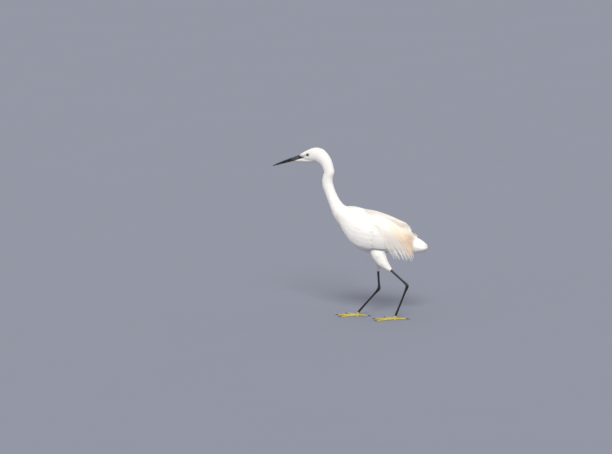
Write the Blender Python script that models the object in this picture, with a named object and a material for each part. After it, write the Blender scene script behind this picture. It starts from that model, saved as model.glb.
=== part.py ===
"""A little egret, life size, striding with its neck stretched forward and its bill pointing slightly down.

The bird faces -X, its left side is at -Y and +Z is up. Its feet stand on z = 0. Sizes below are in
millimetres and are turned to metres when a mesh is made.
"""

import math
import random

import bmesh
import bpy
from mathutils import Matrix, Vector

MM = 0.001
GAP = 0.3
SEED = 7
LEFT, RIGHT = -1, 1
SIDES = (("left", LEFT), ("right", RIGHT))
OUT = Vector((0.0, 1.0, 0.0))

# The body from the bill's base to the rump, cut across its length. Each row is one cut: the point on the nape
# or back, the point on the throat, breast or belly, both as x and z, and half the width.
BODY = (
    (-150.7, 447.1, -147.0, 433.3, 5.4),
    (-144.5, 450.4, -139.5, 429.2, 8.4),
    (-138.0, 453.8, -131.5, 427.8, 10.6),
    (-125.8, 459.1, -119.0, 427.4, 12.6),
    (-109.0, 465.0, -106.5, 426.8, 14.2),
    (-92.5, 465.2, -100.6, 425.4, 14.6),
    (-77.0, 457.8, -94.6, 422.6, 14.4),
    (-60.6, 436.0, -87.4, 416.2, 13.4),
    (-53.8, 409.5, -82.4, 406.0, 12.6),
    (-52.9, 398.0, -81.6, 397.6, 12.2),
    (-57.0, 388.0, -84.6, 389.4, 12.2),
    (-60.2, 375.5, -88.2, 376.0, 12.4),
    (-58.8, 361.0, -87.4, 359.0, 12.8),
    (-53.6, 342.5, -81.0, 338.0, 13.4),
    (-44.5, 323.5, -74.4, 317.0, 15.2),
    (-34.0, 309.5, -67.6, 296.5, 18.0),
    (-24.0, 304.8, -58.2, 277.0, 21.8),
    (-10.0, 304.5, -42.6, 252.0, 27.0),
    (6.0, 301.0, -27.0, 226.0, 31.0),
    (25.0, 295.5, -8.0, 201.5, 34.5),
    (48.0, 288.3, 20.0, 184.0, 37.0),
    (75.0, 281.0, 52.0, 179.0, 37.0),
    (103.0, 270.5, 85.0, 179.0, 33.0),
    (128.0, 258.0, 115.0, 184.5, 27.0),
    (148.0, 245.0, 141.0, 194.0, 19.0),
    (165.0, 233.0, 161.0, 205.0, 11.5),
)
HEAD_END, NECK_UPPER_END, NECK_MIDDLE_END, NECK_LOWER_END = 8.0, 11.0, 13.5, 16.5
END_TRIM = 0.19
RUMP = len(BODY) - 1.0
BODY_SIDES = 20

# How far the folded wings stand off the body, and how their outer surface goes on past the rump.
WING_FIRST_ROW = 16
WING_LIFT, WING_WIDEN = 1.0, 8.0
WING_REAR = (
    (150.0, 247.0, 143.0, 193.0, 27.5),
    (172.0, 235.5, 168.0, 199.0, 21.5),
    (194.0, 218.0, 191.0, 199.0, 17.6),
    (208.0, 208.0, 206.0, 197.0, 14.5),
)
# The wing's form under its vanes: place along the surface, then its edges in degrees round from the back.
WING_EDGES = (
    (0.15, 64.0, 92.0),
    (0.6, 46.0, 112.0),
    (1.5, 38.0, 124.0),
    (3.0, 36.0, 128.0),
    (4.6, 37.0, 125.0),
    (6.0, 40.0, 117.0),
    (7.4, 47.0, 107.0),
    (8.4, 56.0, 98.0),
    (9.0, 64.0, 90.0),
)
WING_THICK, WING_TIP_THICK = 13.0, 1.4
WING_THINS_FROM, WING_THIN_BY = 0.66, 0.9
# The tiers of vanes: how many, the first and last root and the first and last tip as place and degrees,
# half width, lift at the tip.
WING_TIERS = {
    "primaries": (4, (6.2, 70.0), (6.3, 98.0), (9.9, 74.0), (9.1, 102.0), 5.8, 0.8),
    "secondaries": (5, (4.4, 66.0), (4.6, 118.0), (6.9, 64.0), (7.2, 124.0), 8.4, 1.2),
    "tertials": (3, (4.3, 44.0), (4.7, 62.0), (8.5, 50.0), (8.1, 76.0), 8.0, 1.4),
    "greater_coverts": (6, (2.6, 44.0), (3.1, 117.0), (4.8, 46.0), (5.1, 125.0), 8.2, 1.4),
    "median_coverts": (5, (1.2, 50.0), (1.8, 111.0), (3.1, 48.0), (3.6, 122.0), 8.4, 1.4),
}
VANE_THICK, VANE_SUNK, VANE_TILT = 0.8, 1.4, 0.8
VANE_SHAPE = (0.6, 0.95, 1.0, 0.88, 0.38)

# The long back plumes: the saddle they grow from, then the locks that run back and hang over each side.
SADDLE = ((1.5, 12.0), (2.2, 20.0), (3.4, 24.0), (4.8, 24.0), (6.0, 18.0), (6.9, 9.0))
SADDLE_TOP, SADDLE_UNDER = 3.2, -3.0
HANG_FROM, HANG_RADIUS, HANG_LEAN = 100.0, 42.0, (0.12, 0.06)
PLUME_LIFT, PLUME_SUNK = 5.4, 2.4
PLUME_STEP = 1.25
# How many degrees round the side locks reach: at the first, more in the middle, less at the last.
SIDE_REACH, REACH_MORE, REACH_LESS = 150.0, 25.0, 108.0
SIDE_PLUMES = {
    "count": 7,
    "half": 5.2,
    "root": (2.9, 20.0),
    "last_root": (5.2, 12.0),
    "tip": 7.3,
    "last_tip": 9.4,
}
BACK_PLUMES = {
    "count": 5,
    "half": 4.6,
    "root": 4.0,
    "spread": 13.0,
    "tip": 7.7,
    "tip_spread": 40.0,
    "curl": 12.0,
}
PLUME_SHAPE = (0.5, 0.95, 1.0, 1.0, 0.85, 0.55, 0.14)
# The plumes at the foot of the neck, as places and degrees on the body.
BREAST_PLUMES = {
    "count": 9,
    "root": 15.5,
    "tip": 17.35,
    "half": 4.8,
    "spread": 56.0,
    "lift": 1.4,
    "sunk": 1.2,
}
BREAST_SHAPE = (0.6, 1.0, 0.95, 0.6, 0.14)

# The tail, as a low roof: ridge x and z, half width and how far the sides fall, then its thickness.
TAIL = (
    (160.0, 229.0, 10.0, 8.0, 19.0),
    (176.0, 226.0, 14.5, 10.0, 14.0),
    (188.0, 219.0, 17.5, 12.0, 7.0),
    (200.0, 210.0, 18.0, 13.0, 2.6),
    (208.5, 202.0, 12.0, 9.0, 1.4),
)
TAIL_SIDES = 8
TAIL_CORE_END = 3.0
TAIL_EDGE, ROOF_LEAN = 0.86, (0.4, 0.9)
RECTRICES, RECTRIX_HALF, RECTRIX_TILT = 10, 3.0, 0.7
RECTRIX_ROOT, RECTRIX_SUNK, RECTRIX_LIFT, RECTRIX_FALL = 0.6, 1.0, 1.6, 1.3

# The bill: x, z of the line of the mouth, half width, and depth above and below that line.
BILL = (
    (-151.2, 439.4, 5.2, 7.0, 5.6),
    (-160.0, 437.4, 4.6, 6.0, 5.0),
    (-172.0, 434.4, 3.9, 5.2, 4.5),
    (-190.0, 429.5, 3.1, 4.2, 3.9),
    (-208.0, 424.5, 2.3, 3.1, 3.0),
    (-224.0, 419.8, 1.4, 1.8, 1.9),
    (-236.0, 416.4, 0.45, 0.6, 0.7),
)
BILL_ARC, BILL_SLOPE = 8, 0.27
NOSTRIL = {"x": -163.5, "place": 1.2, "above_mouth": 3.3, "length": 7.0, "height": 1.1, "depth": 1.1}
GAPE_END, GAPE_END_HALF = (-134.5, 441.6), 10.6
GAPE_GROOVE, GAPE_DEPTH, GAPE_LOWER = 0.6, 1.0, 0.45
CUT_OUT = 8.0

EYE = {"x": -121.8, "z": 448.2, "radius": 6.0, "out": 8.0}
LID = {"out": 11.9, "half_long": 5.1, "half_high": 4.7, "thick": 0.85}

# The legs: x, y away from the middle, z, half thickness fore and aft, half thickness across.
THIGHS = {
    "left": (
        (70.0, 14.0, 197.0, 25.0, 12.0),
        (70.5, 19.0, 182.0, 22.0, 13.5),
        (80.0, 21.5, 163.0, 17.0, 11.5),
        (91.5, 22.0, 149.0, 11.5, 8.5),
        (106.5, 22.0, 136.0, 4.6, 4.6),
    ),
    "right": (
        (56.0, 14.0, 197.0, 24.0, 12.0),
        (53.0, 18.0, 182.0, 20.0, 13.5),
        (49.5, 20.0, 160.0, 13.0, 10.5),
        (48.0, 20.0, 140.0, 7.6, 7.2),
        (47.5, 20.0, 125.0, 4.4, 4.4),
    ),
}
LOWER_LEGS = {
    "left": (
        (106.8, 22.0, 135.7, 3.0, 2.8),
        (117.0, 22.0, 126.5, 2.9, 2.7),
        (138.0, 21.5, 107.5, 2.9, 2.7),
        (147.5, 21.3, 99.0, 3.8, 3.6),
        (150.8, 21.2, 93.0, 4.4, 4.0),
        (148.0, 21.2, 85.5, 3.9, 3.6),
        (141.5, 21.1, 73.0, 2.8, 2.6),
        (125.0, 20.6, 41.0, 2.6, 2.4),
        (112.0, 20.2, 16.5, 2.9, 2.8),
        (109.2, 20.0, 10.0, 3.4, 3.4),
    ),
    "right": (
        (47.5, 20.0, 124.7, 3.0, 2.8),
        (47.2, 20.0, 115.0, 2.9, 2.7),
        (46.8, 20.0, 93.0, 2.9, 2.7),
        (46.8, 20.0, 83.0, 3.7, 3.6),
        (45.6, 20.0, 76.5, 4.4, 4.0),
        (41.0, 20.0, 71.0, 3.9, 3.6),
        (30.0, 20.0, 60.5, 2.8, 2.6),
        (5.0, 20.0, 36.5, 2.6, 2.4),
        (-16.5, 20.0, 15.5, 2.9, 2.8),
        (-21.0, 20.0, 10.0, 3.4, 3.4),
    ),
}
ANKLE_ROW, SOLE_ROW = 4.0, 9.0
LEG_SIDES = 10
FEET = {"left": (107.0, 20.0), "right": (-24.5, 20.0)}
PAD_RADIUS, PAD_SUNK = 6.2, 1.0
# Each toe: degrees outwards from straight ahead, length from the pad, claw length.
TOES = {
    "inner": (-29.0, 45.0, 9.0),
    "middle": (1.0, 60.0, 9.5),
    "outer": (30.0, 50.0, 8.5),
    "hind": (186.0, 33.0, 11.0),
}
TOE_WIDE, TOE_HIGH = 2.9, 5.0
TOE_TIP_WIDE, TOE_TIP_HIGH = 1.9, 3.6
TOE_SIDES = 8
CLAW_BASE, CLAW_TIP, CLAW_SIDES = 1.35, 0.25, 6

WHITE = (0.86, 0.85, 0.82)
CREAM = (0.84, 0.74, 0.60)
BLACK = (0.02, 0.02, 0.022)
YELLOW = (0.62, 0.52, 0.10)
IRIS = (0.42, 0.38, 0.08)


def clear_scene():
    for obj in list(bpy.data.objects):
        bpy.data.objects.remove(obj, do_unlink=True)


def material(name, colour, roughness):
    """The finish with this name, made once and shared by the pieces that have it."""
    found = bpy.data.materials.get(name)
    if found:
        return found
    made = bpy.data.materials.new(name)
    made.use_nodes = True
    shader = made.node_tree.nodes["Principled BSDF"]
    shader.inputs["Base Color"].default_value = (*colour, 1.0)
    shader.inputs["Roughness"].default_value = roughness
    shader.inputs["Metallic"].default_value = 0.0
    return made


def plumage():
    return material("white_plumage", WHITE, 0.8)


def horn():
    return material("black_horn", BLACK, 0.4)


def new_piece(name, points, faces, finish=None):
    """An object from points in millimetres, with its faces turned outwards."""
    mesh = bpy.data.meshes.new(name)
    mesh.from_pydata([tuple(MM * value for value in point) for point in points], [], faces)
    build = bmesh.new()
    build.from_mesh(mesh)
    bmesh.ops.recalc_face_normals(build, faces=build.faces)
    if build.calc_volume(signed=True) < 0:
        bmesh.ops.reverse_faces(build, faces=build.faces)
    build.to_mesh(mesh)
    build.free()
    obj = bpy.data.objects.new(name, mesh)
    bpy.context.scene.collection.objects.link(obj)
    if finish:
        mesh.materials.append(finish)
    return obj


def shade(obj, sharp=50.0):
    obj.data.shade_smooth()
    obj.data.set_sharp_from_angle(angle=math.radians(sharp))
    return obj


def between(rows, place):
    """The row at a place counted in rows, on a smooth curve through all of them."""
    place = min(max(place, 0.0), len(rows) - 1.0)
    first = min(int(place), len(rows) - 2)
    part = place - first
    near = [rows[min(max(first + step, 0), len(rows) - 1)] for step in (-1, 0, 1, 2)]
    values = []
    for a, b, c, d in zip(*near):
        square, cube = 2 * a - 5 * b + 4 * c - d, 3 * b - a - 3 * c + d
        values.append(0.5 * (2 * b + (c - a) * part + square * part**2 + cube * part**3))
    return values


def steps(first, last, count):
    return [first + (last - first) * i / count for i in range(count + 1)]


def on_form(rows, place, degrees, out=0.0):
    """A point round a form: 0 degrees is the back, 90 the right side, 180 the belly."""
    back_x, back_z, front_x, front_z, half = between(rows, place)
    turn = math.radians(degrees)
    middle = Vector(((back_x + front_x) / 2, 0.0, (back_z + front_z) / 2))
    up = Vector((back_x, 0.0, back_z)) - middle
    across = Vector((0.0, half, 0.0))
    outward = up * (math.cos(turn) / up.length_squared) + across * (math.sin(turn) / across.length_squared)
    return middle + up * math.cos(turn) + across * math.sin(turn) + outward.normalized() * out


def row_length(rows, place):
    """Millimetres of the form's middle line for each row at this place."""
    ends = [between(rows, place + step) for step in (-0.05, 0.05)]
    middles = [((row[0] + row[2]) / 2, (row[1] + row[3]) / 2) for row in ends]
    return math.dist(*middles) / 0.1


def loft(name, rings, finish=None):
    """A closed form through rings of the same number of points, flat at both ends."""
    count = len(rings[0])
    points = [point for ring in rings for point in ring]
    faces = [tuple(range(count)), tuple(range(len(points) - count, len(points)))]
    for start in range(0, len(points) - count, count):
        for i in range(count):
            after = (i + 1) % count
            faces.append((start + i, start + after, start + count + after, start + count + i))
    return new_piece(name, points, faces, finish)


def slab(name, outer, inner, finish=None):
    """A thin closed piece between two grids of points, split into triangles alike on both faces."""
    rows, columns = len(outer), len(outer[0])
    points = [point for grid in (outer, inner) for row in grid for point in row]
    under = rows * columns
    faces = []
    for i in range(rows - 1):
        for j in range(columns - 1):
            a = i * columns + j
            b, c, d = a + 1, a + columns + 1, a + columns
            faces += [(a, b, c), (a, c, d)]
            faces += [(under + a, under + c, under + b), (under + a, under + d, under + c)]
    edge = list(range(columns))
    edge += [i * columns + columns - 1 for i in range(1, rows)]
    edge += [(rows - 1) * columns + j for j in range(columns - 2, -1, -1)]
    edge += [i * columns for i in range(rows - 2, 0, -1)]
    for i, a in enumerate(edge):
        b = edge[(i + 1) % len(edge)]
        faces += [(a, under + a, b), (b, under + a, under + b)]
    return new_piece(name, points, faces, finish)


def combine(target, others, operation, solver="EXACT"):
    """One Boolean with a collection of closed pieces, applied, with those pieces then removed."""
    group = bpy.data.collections.new("joined_pieces")
    for obj in others:
        group.objects.link(obj)
    boolean = target.modifiers.new("join", "BOOLEAN")
    boolean.operation = operation
    boolean.operand_type = "COLLECTION"
    boolean.collection = group
    boolean.solver = solver
    bpy.context.view_layer.update()
    graph = bpy.context.evaluated_depsgraph_get()
    joined = bpy.data.meshes.new_from_object(target.evaluated_get(graph))
    target.modifiers.clear()
    target.data = joined
    for obj in others:
        bpy.data.objects.remove(obj, do_unlink=True)
    bpy.data.collections.remove(group)
    keep_largest(target)
    return target


def keep_largest(obj):
    """Leaves only the closed surface with the most points."""
    build = bmesh.new()
    build.from_mesh(obj.data)
    left = set(build.verts)
    groups = []
    while left:
        found = [left.pop()]
        for vert in found:
            for edge in vert.link_edges:
                other = edge.other_vert(vert)
                if other in left:
                    left.remove(other)
                    found.append(other)
        groups.append(found)
    groups.sort(key=len)
    bmesh.ops.delete(build, geom=[vert for group in groups[:-1] for vert in group], context="VERTS")
    build.to_mesh(obj.data)
    build.free()


def ring_on_form(rows, place, out=0.0, count=BODY_SIDES):
    return [on_form(rows, place, 360.0 * i / count, out) for i in range(count)]


def body_length(name, first, last, count, finish):
    """A length of the body between two places, trimmed a little at each end that meets a neighbour."""
    if first > 0:
        first += END_TRIM / row_length(BODY, first)
    if last < RUMP:
        last -= END_TRIM / row_length(BODY, last)
    return loft(name, [ring_on_form(BODY, place) for place in steps(first, last, count)], finish)


def body_cutter():
    """The whole body grown by the gap, to clear what lies on it."""
    rings = [ring_on_form(BODY, place, GAP) for place in steps(0, RUMP, 60)]
    rings[-1] = [point + Vector((GAP, 0.0, 0.0)) for point in rings[-1]]
    cutter = loft("body_cutter", rings)
    cutter.hide_render = True
    cutter.display_type = "WIRE"
    return cutter


def ball(name, centre, radius, segments=14, rings=8, finish=None):
    lengths = []
    for latitude in steps(0.0, math.pi, rings)[1:-1]:
        lengths.append(
            [
                centre
                + radius
                * Vector(
                    (
                        math.sin(latitude) * math.cos(math.tau * i / segments),
                        math.cos(latitude),
                        math.sin(latitude) * math.sin(math.tau * i / segments),
                    )
                )
                for i in range(segments)
            ]
        )
    points = [point for ring in lengths for point in ring]
    points += [centre + Vector((0.0, radius, 0.0)), centre - Vector((0.0, radius, 0.0))]
    top, bottom = len(points) - 2, len(points) - 1
    faces = []
    last = len(points) - 2 - segments
    for i in range(segments):
        after = (i + 1) % segments
        faces += [(top, i, after), (bottom, last + after, last + i)]
        for start in range(0, last, segments):
            faces.append((start + i, start + segments + i, start + segments + after, start + after))
    return new_piece(name, points, faces, finish)


def lid_ring(name, side):
    """The raised rim of the eyelids."""
    long_steps, round_steps = 14, 5
    points = []
    for i in range(long_steps):
        turn = math.tau * i / long_steps
        along = Vector((math.cos(turn), 0.0, math.sin(turn)))
        middle = Vector(
            (
                EYE["x"] + LID["half_long"] * along.x,
                side * LID["out"],
                EYE["z"] + LID["half_high"] * along.z,
            )
        )
        for j in range(round_steps):
            roll = math.tau * j / round_steps
            points.append(middle + LID["thick"] * (math.cos(roll) * along + math.sin(roll) * OUT))
    faces = []
    for i in range(long_steps):
        here, ahead = i * round_steps, (i + 1) % long_steps * round_steps
        for j in range(round_steps):
            after = (j + 1) % round_steps
            faces.append((here + j, here + after, ahead + after, ahead + j))
    return new_piece(name, points, faces)


def box_piece(name, corner, along, across, up):
    points = [corner + i * along + j * across + k * up for i in (0, 1) for j in (0, 1) for k in (0, 1)]
    faces = [(0, 1, 3, 2), (4, 6, 7, 5), (0, 4, 5, 1), (2, 3, 7, 6), (0, 2, 6, 4), (1, 5, 7, 3)]
    return new_piece(name, points, faces)


def eye_centre(side):
    return Vector((EYE["x"], side * EYE["out"], EYE["z"]))


def make_head():
    head = body_length("head", 0.0, HEAD_END, 16, plumage())
    combine(head, [lid_ring("lid", side) for _, side in SIDES], "UNION")
    cuts = [ball("socket", eye_centre(side), EYE["radius"] + GAP) for _, side in SIDES]
    mouth = Vector((BILL[0][0] - 2.0, 0.0, BILL[0][1] - GAPE_LOWER))
    gape = Vector((GAPE_END[0], 0.0, GAPE_END[1]))
    for _, side in SIDES:
        start = mouth + Vector((0.0, side * (BILL[0][2] - GAPE_DEPTH), 0.0))
        end = gape + Vector((0.0, side * (GAPE_END_HALF - GAPE_DEPTH), 0.0))
        out, up = Vector((0.0, side * CUT_OUT, 0.0)), Vector((0.0, 0.0, GAPE_GROOVE))
        cuts.append(box_piece("gape", start, end - start, out, up))
    combine(head, cuts, "DIFFERENCE")
    shade(head)
    for word, side in SIDES:
        shade(ball("eye_" + word, eye_centre(side), EYE["radius"], finish=material("eye", IRIS, 0.1)))


def bill_half(name, above):
    """The upper or lower half of the bill, flat along the line of the mouth."""
    rings = []
    sign = 1 if above else -1
    for place in steps(0, len(BILL) - 1, 9):
        x, z, half, upper, lower = between(BILL, place)
        depth = upper if above else lower
        ring = []
        for i in range(BILL_ARC + 1):
            turn = math.pi * i / BILL_ARC
            lift = GAP / 2 + depth * math.sin(turn)
            ring.append(Vector((x - BILL_SLOPE * sign * lift, half * math.cos(turn), z + sign * lift)))
        rings.append(ring)
    return loft(name, rings, horn())


def make_bill():
    upper = bill_half("bill_upper", True)
    cuts = []
    _, mouth, half, _, _ = between(BILL, NOSTRIL["place"])
    for _, side in SIDES:
        inside = side * (half * 0.9 - NOSTRIL["depth"])
        corner = Vector((NOSTRIL["x"], inside, mouth + NOSTRIL["above_mouth"]))
        slope = Vector((NOSTRIL["length"], 0.0, NOSTRIL["length"] * BILL_SLOPE))
        out, up = Vector((0.0, side * CUT_OUT, 0.0)), Vector((0.0, 0.0, NOSTRIL["height"]))
        cuts.append(box_piece("nostril", corner, slope, out, up))
    combine(upper, cuts, "DIFFERENCE")
    shade(upper)
    shade(bill_half("bill_lower", False))


def breast_locks(chance):
    """The pointed plumes that hang from the foot of the neck over the breast."""
    size = BREAST_PLUMES
    locks = []
    surface = lambda place, turn, lift: on_form(BODY, place, turn, lift)
    for i in range(size["count"]):
        share = 2.0 * i / (size["count"] - 1) - 1.0
        turn = 180.0 + size["spread"] * share
        end = size["tip"] - 0.35 * abs(share) + chance.uniform(-0.12, 0.12)
        stops = []
        for part in steps(0.0, 1.0, len(BREAST_SHAPE) - 1):
            rise = size["sunk"] + size["lift"] + PLUME_STEP * (i % 2)
            lift = rise * min(1.0, part * 2.2) - size["sunk"]
            stops.append((size["root"] + (end - size["root"]) * part, turn, lift))
        locks.append(blade_on(surface, stops, [size["half"] * shape for shape in BREAST_SHAPE], 0.0))
    return locks


def make_body():
    make_head()
    shade(body_length("neck_upper", HEAD_END, NECK_UPPER_END, 6, plumage()))
    shade(body_length("neck_middle", NECK_UPPER_END, NECK_MIDDLE_END, 5, plumage()))
    neck = body_length("neck_lower", NECK_MIDDLE_END, NECK_LOWER_END, 6, plumage())
    shade(combine(neck, breast_locks(random.Random(SEED)), "UNION"), 30.0)
    shade(body_length("torso", NECK_LOWER_END, RUMP, 15, plumage()))


def wing_rows():
    """The surface the folded wings lie on: the body's cuts made larger, then its run out over the tail."""
    rows = []
    for back_x, back_z, front_x, front_z, half in BODY[WING_FIRST_ROW:-2]:
        rows.append((back_x, back_z + WING_LIFT, front_x, front_z - WING_LIFT, half + WING_WIDEN))
    first = rows[0]
    rows[0] = (*first[:4], first[4] - WING_WIDEN / 2)
    return rows + list(WING_REAR)


def blade(spine, across, up, halves, tilt, thick=VANE_THICK):
    """A vane or lock along a line of points, with the directions across it and up at each point."""
    outer, inner = [], []
    for point, aside, above, half in zip(spine, across, up, halves):
        edges = [point - aside * half - above * tilt, point + aside * half + above * tilt]
        outer.append([edge + above * (thick / 2) for edge in edges])
        inner.append([edge - above * (thick / 2) for edge in edges])
    return slab("blade", outer, inner)


def blade_on(surface, stops, halves, tilt):
    """A blade along (place, degrees, lift) stops on a surface, its far edge raised where tilt is positive."""
    spine = [surface(*stop) for stop in stops]
    above = [surface(place, turn, lift + 1.0) for place, turn, lift in stops]
    up = [(high - low).normalized() for high, low in zip(above, spine)]
    across = []
    for i, (place, turn, lift) in enumerate(stops):
        ahead = (spine[min(i + 1, len(spine) - 1)] - spine[max(i - 1, 0)]).normalized()
        aside = up[i].cross(ahead)
        away = surface(place, turn + (1.0 if turn > 0 else -1.0), lift) - spine[i]
        across.append((aside if aside.dot(away) > 0 else -aside).normalized())
    return blade(spine, across, up, halves, tilt)


def wing_vanes(rows, side, chance):
    vanes = []
    surface = lambda place, turn, lift: on_form(rows, place, turn, lift)
    for count, root, last_root, tip, last_tip, half, lift in WING_TIERS.values():
        for i in range(count):
            share = i / (count - 1)
            place, turn = (a + (b - a) * share for a, b in zip(root, last_root))
            end, end_turn = (a + (b - a) * share for a, b in zip(tip, last_tip))
            end += chance.uniform(-0.08, 0.08)
            stops = []
            for part in steps(0.0, 1.0, len(VANE_SHAPE) - 1):
                rise = -VANE_SUNK + (lift + VANE_SUNK) * min(1.0, part * 1.6)
                stops.append((place + (end - place) * part, side * (turn + (end_turn - turn) * part), rise))
            wide = half * chance.uniform(0.94, 1.06)
            vanes.append(blade_on(surface, stops, [wide * shape for shape in VANE_SHAPE], VANE_TILT))
    return vanes


def make_wing(word, side):
    rows = wing_rows()
    outer, inner = [], []
    for part in steps(0, len(WING_EDGES) - 1, 13):
        place, high, low = between(WING_EDGES, part)
        share = part / (len(WING_EDGES) - 1)
        thinned = min(max((share - WING_THINS_FROM) / (WING_THIN_BY - WING_THINS_FROM), 0.0), 1.0)
        thick = WING_THICK + (WING_TIP_THICK - WING_THICK) * thinned
        turns = [side * degrees for degrees in steps(high, low, 6)]
        outer.append([on_form(rows, place, degrees) for degrees in turns])
        inner.append([on_form(rows, place, degrees, -thick) for degrees in turns])
    wing = slab("wing_" + word, outer, inner, plumage())
    combine(wing, wing_vanes(rows, side, random.Random(SEED + side)), "UNION")
    combine(wing, [body_cutter()], "DIFFERENCE")
    return shade(wing, 30.0)


def draped(rows, place, degrees, out):
    """A point over the wings that hangs straight down once it is past the widest part."""
    side = RIGHT if degrees > 0 else LEFT
    over = abs(degrees) - HANG_FROM
    if over <= 0:
        return on_form(rows, place, degrees, out)
    drop = math.radians(over) * HANG_RADIUS
    return on_form(rows, place, side * HANG_FROM, out) + drop * Vector((HANG_LEAN[0], side * HANG_LEAN[1], -1.0))


def plume_stops(root, tip, fall, layer, curl=0.0):
    """Stops from a root to a tip, as place, degrees and lift, that run back first and turn down later."""
    top = PLUME_LIFT + PLUME_STEP * layer
    stops = []
    for part in steps(0.0, 1.0, len(PLUME_SHAPE) - 1):
        place = root[0] + (tip[0] - root[0]) * part
        turn = root[1] + (tip[1] - root[1]) * part**fall
        lift = PLUME_SUNK + (top - PLUME_SUNK) * min(1.0, part * 5.0) + curl * part**3
        stops.append((place, turn, lift))
    return stops


def back_locks(rows, chance):
    locks = []
    surface = lambda place, turn, lift: draped(rows, place, turn, lift)
    size = SIDE_PLUMES
    for _, side in SIDES:
        for i in range(size["count"]):
            share = i / (size["count"] - 1)
            root = [a + (b - a) * share for a, b in zip(size["root"], size["last_root"])]
            reach = SIDE_REACH + REACH_MORE * math.sin(math.pi * share) - REACH_LESS * share**2
            reach += chance.uniform(-5.0, 5.0)
            tip = (size["tip"] + (size["last_tip"] - size["tip"]) * share, side * reach)
            stops = plume_stops((root[0], side * root[1]), tip, 1.5, i % 2)
            locks.append(blade_on(surface, stops, [size["half"] * shape for shape in PLUME_SHAPE], 0.5))
    size = BACK_PLUMES
    for i in range(size["count"]):
        share = 2.0 * i / (size["count"] - 1) - 1.0
        root = (size["root"] + 0.5 * abs(share), size["spread"] * share)
        tip = (size["tip"] + 0.5 * abs(share) + chance.uniform(-0.1, 0.1), size["tip_spread"] * share)
        stops = plume_stops(root, tip, 1.0, i % 2 + 1.0, size["curl"] * (1.0 - 0.6 * abs(share)))
        locks.append(blade_on(surface, stops, [size["half"] * shape for shape in PLUME_SHAPE], 0.25))
    return locks


def make_back_plumes():
    rows = wing_rows()
    outer, inner = [], []
    for part in steps(0, len(SADDLE) - 1, 10):
        place, edge = between(SADDLE, part)
        turns = steps(-edge, edge, 6)
        outer.append([on_form(rows, place, turn, SADDLE_TOP) for turn in turns])
        inner.append([on_form(rows, place, turn, SADDLE_UNDER) for turn in turns])
    plumes = slab("back_plumes", outer, inner, material("cream_plumes", CREAM, 0.8))
    combine(plumes, back_locks(rows, random.Random(SEED)), "UNION")
    combine(plumes, [body_cutter()], "DIFFERENCE")
    return shade(plumes, 30.0)


def on_tail(place, part, lift=0.0):
    """A point on the tail's roof, from -1 at its left edge to 1 at its right edge."""
    x, z, half, fall, _ = between(TAIL, place)
    return Vector((x + ROOF_LEAN[0] * lift, half * part, z - fall * abs(part) ** 1.5 + ROOF_LEAN[1] * lift))


def rectrices():
    """The tail's vanes, the middle pair uppermost and the outer ones a little shorter."""
    vanes = []
    for i in range(RECTRICES):
        part = 2.0 * (i + 0.5) / RECTRICES - 1.0
        end = len(TAIL) - 1.0 - 0.28 * part * part
        stops = []
        for share in steps(0.0, 1.0, len(VANE_SHAPE) - 1):
            place = RECTRIX_ROOT + (end - RECTRIX_ROOT) * share
            top = RECTRIX_SUNK + RECTRIX_LIFT - RECTRIX_FALL * abs(part)
            spread = TAIL_EDGE + (1.0 - TAIL_EDGE) * share
            stops.append((place, part * spread, -RECTRIX_SUNK + top * min(1.0, share * 2.0)))
        vanes.append(blade_on(on_tail, stops, [RECTRIX_HALF * shape for shape in VANE_SHAPE], RECTRIX_TILT))
    return vanes


def make_tail():
    rings = []
    for place in steps(0, TAIL_CORE_END, 7):
        roof = [on_tail(place, part) for part in steps(-TAIL_EDGE, TAIL_EDGE, TAIL_SIDES)]
        thick = between(TAIL, place)[4]
        floor = [point - Vector((0.25, 0.0, 1.0)) * thick for point in roof]
        rings.append(roof + floor[::-1])
    tail = loft("tail", rings, plumage())
    combine(tail, rectrices(), "UNION")
    combine(tail, [body_cutter()], "DIFFERENCE")
    return shade(tail, 30.0)


def limb_ring(rows, place, side, count=LEG_SIDES):
    """A ring square to the leg's line, which lies nearly in an upright plane."""
    ahead, behind = between(rows, place + 0.05), between(rows, place - 0.05)
    along = Vector((ahead[0] - behind[0], 0.0, ahead[2] - behind[2])).normalized()
    fore = Vector((along.z, 0.0, -along.x))
    x, y, z, deep, wide = between(rows, place)
    middle = Vector((x, side * y, z))
    ring = []
    for i in range(count):
        turn = math.tau * i / count
        ring.append(middle + fore * deep * math.cos(turn) + Vector((0.0, wide * math.sin(turn), 0.0)))
    return ring


def limb_row_length(rows, place):
    ahead, behind = between(rows, place + 0.05), between(rows, place - 0.05)
    return math.dist(ahead[:3], behind[:3]) / 0.1


def make_legs():
    for word, side in SIDES:
        rows = THIGHS[word]
        rings = [limb_ring(rows, place, side, 14) for place in steps(0.0, len(rows) - 1.0, 8)]
        thigh = loft("thigh_" + word, rings, plumage())
        combine(thigh, [body_cutter()], "DIFFERENCE")
        shade(thigh)
        rows = LOWER_LEGS[word]
        trim = GAP / 2 / limb_row_length(rows, ANKLE_ROW)
        shin = [limb_ring(rows, place, side) for place in steps(0.0, ANKLE_ROW - trim, 7)]
        shade(loft("shin_" + word, shin, horn()))
        trim_low = GAP / limb_row_length(rows, SOLE_ROW - 0.05)
        shank = [limb_ring(rows, place, side) for place in steps(ANKLE_ROW + trim, SOLE_ROW - trim_low, 10)]
        shade(loft("shank_" + word, shank, horn()))


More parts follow.
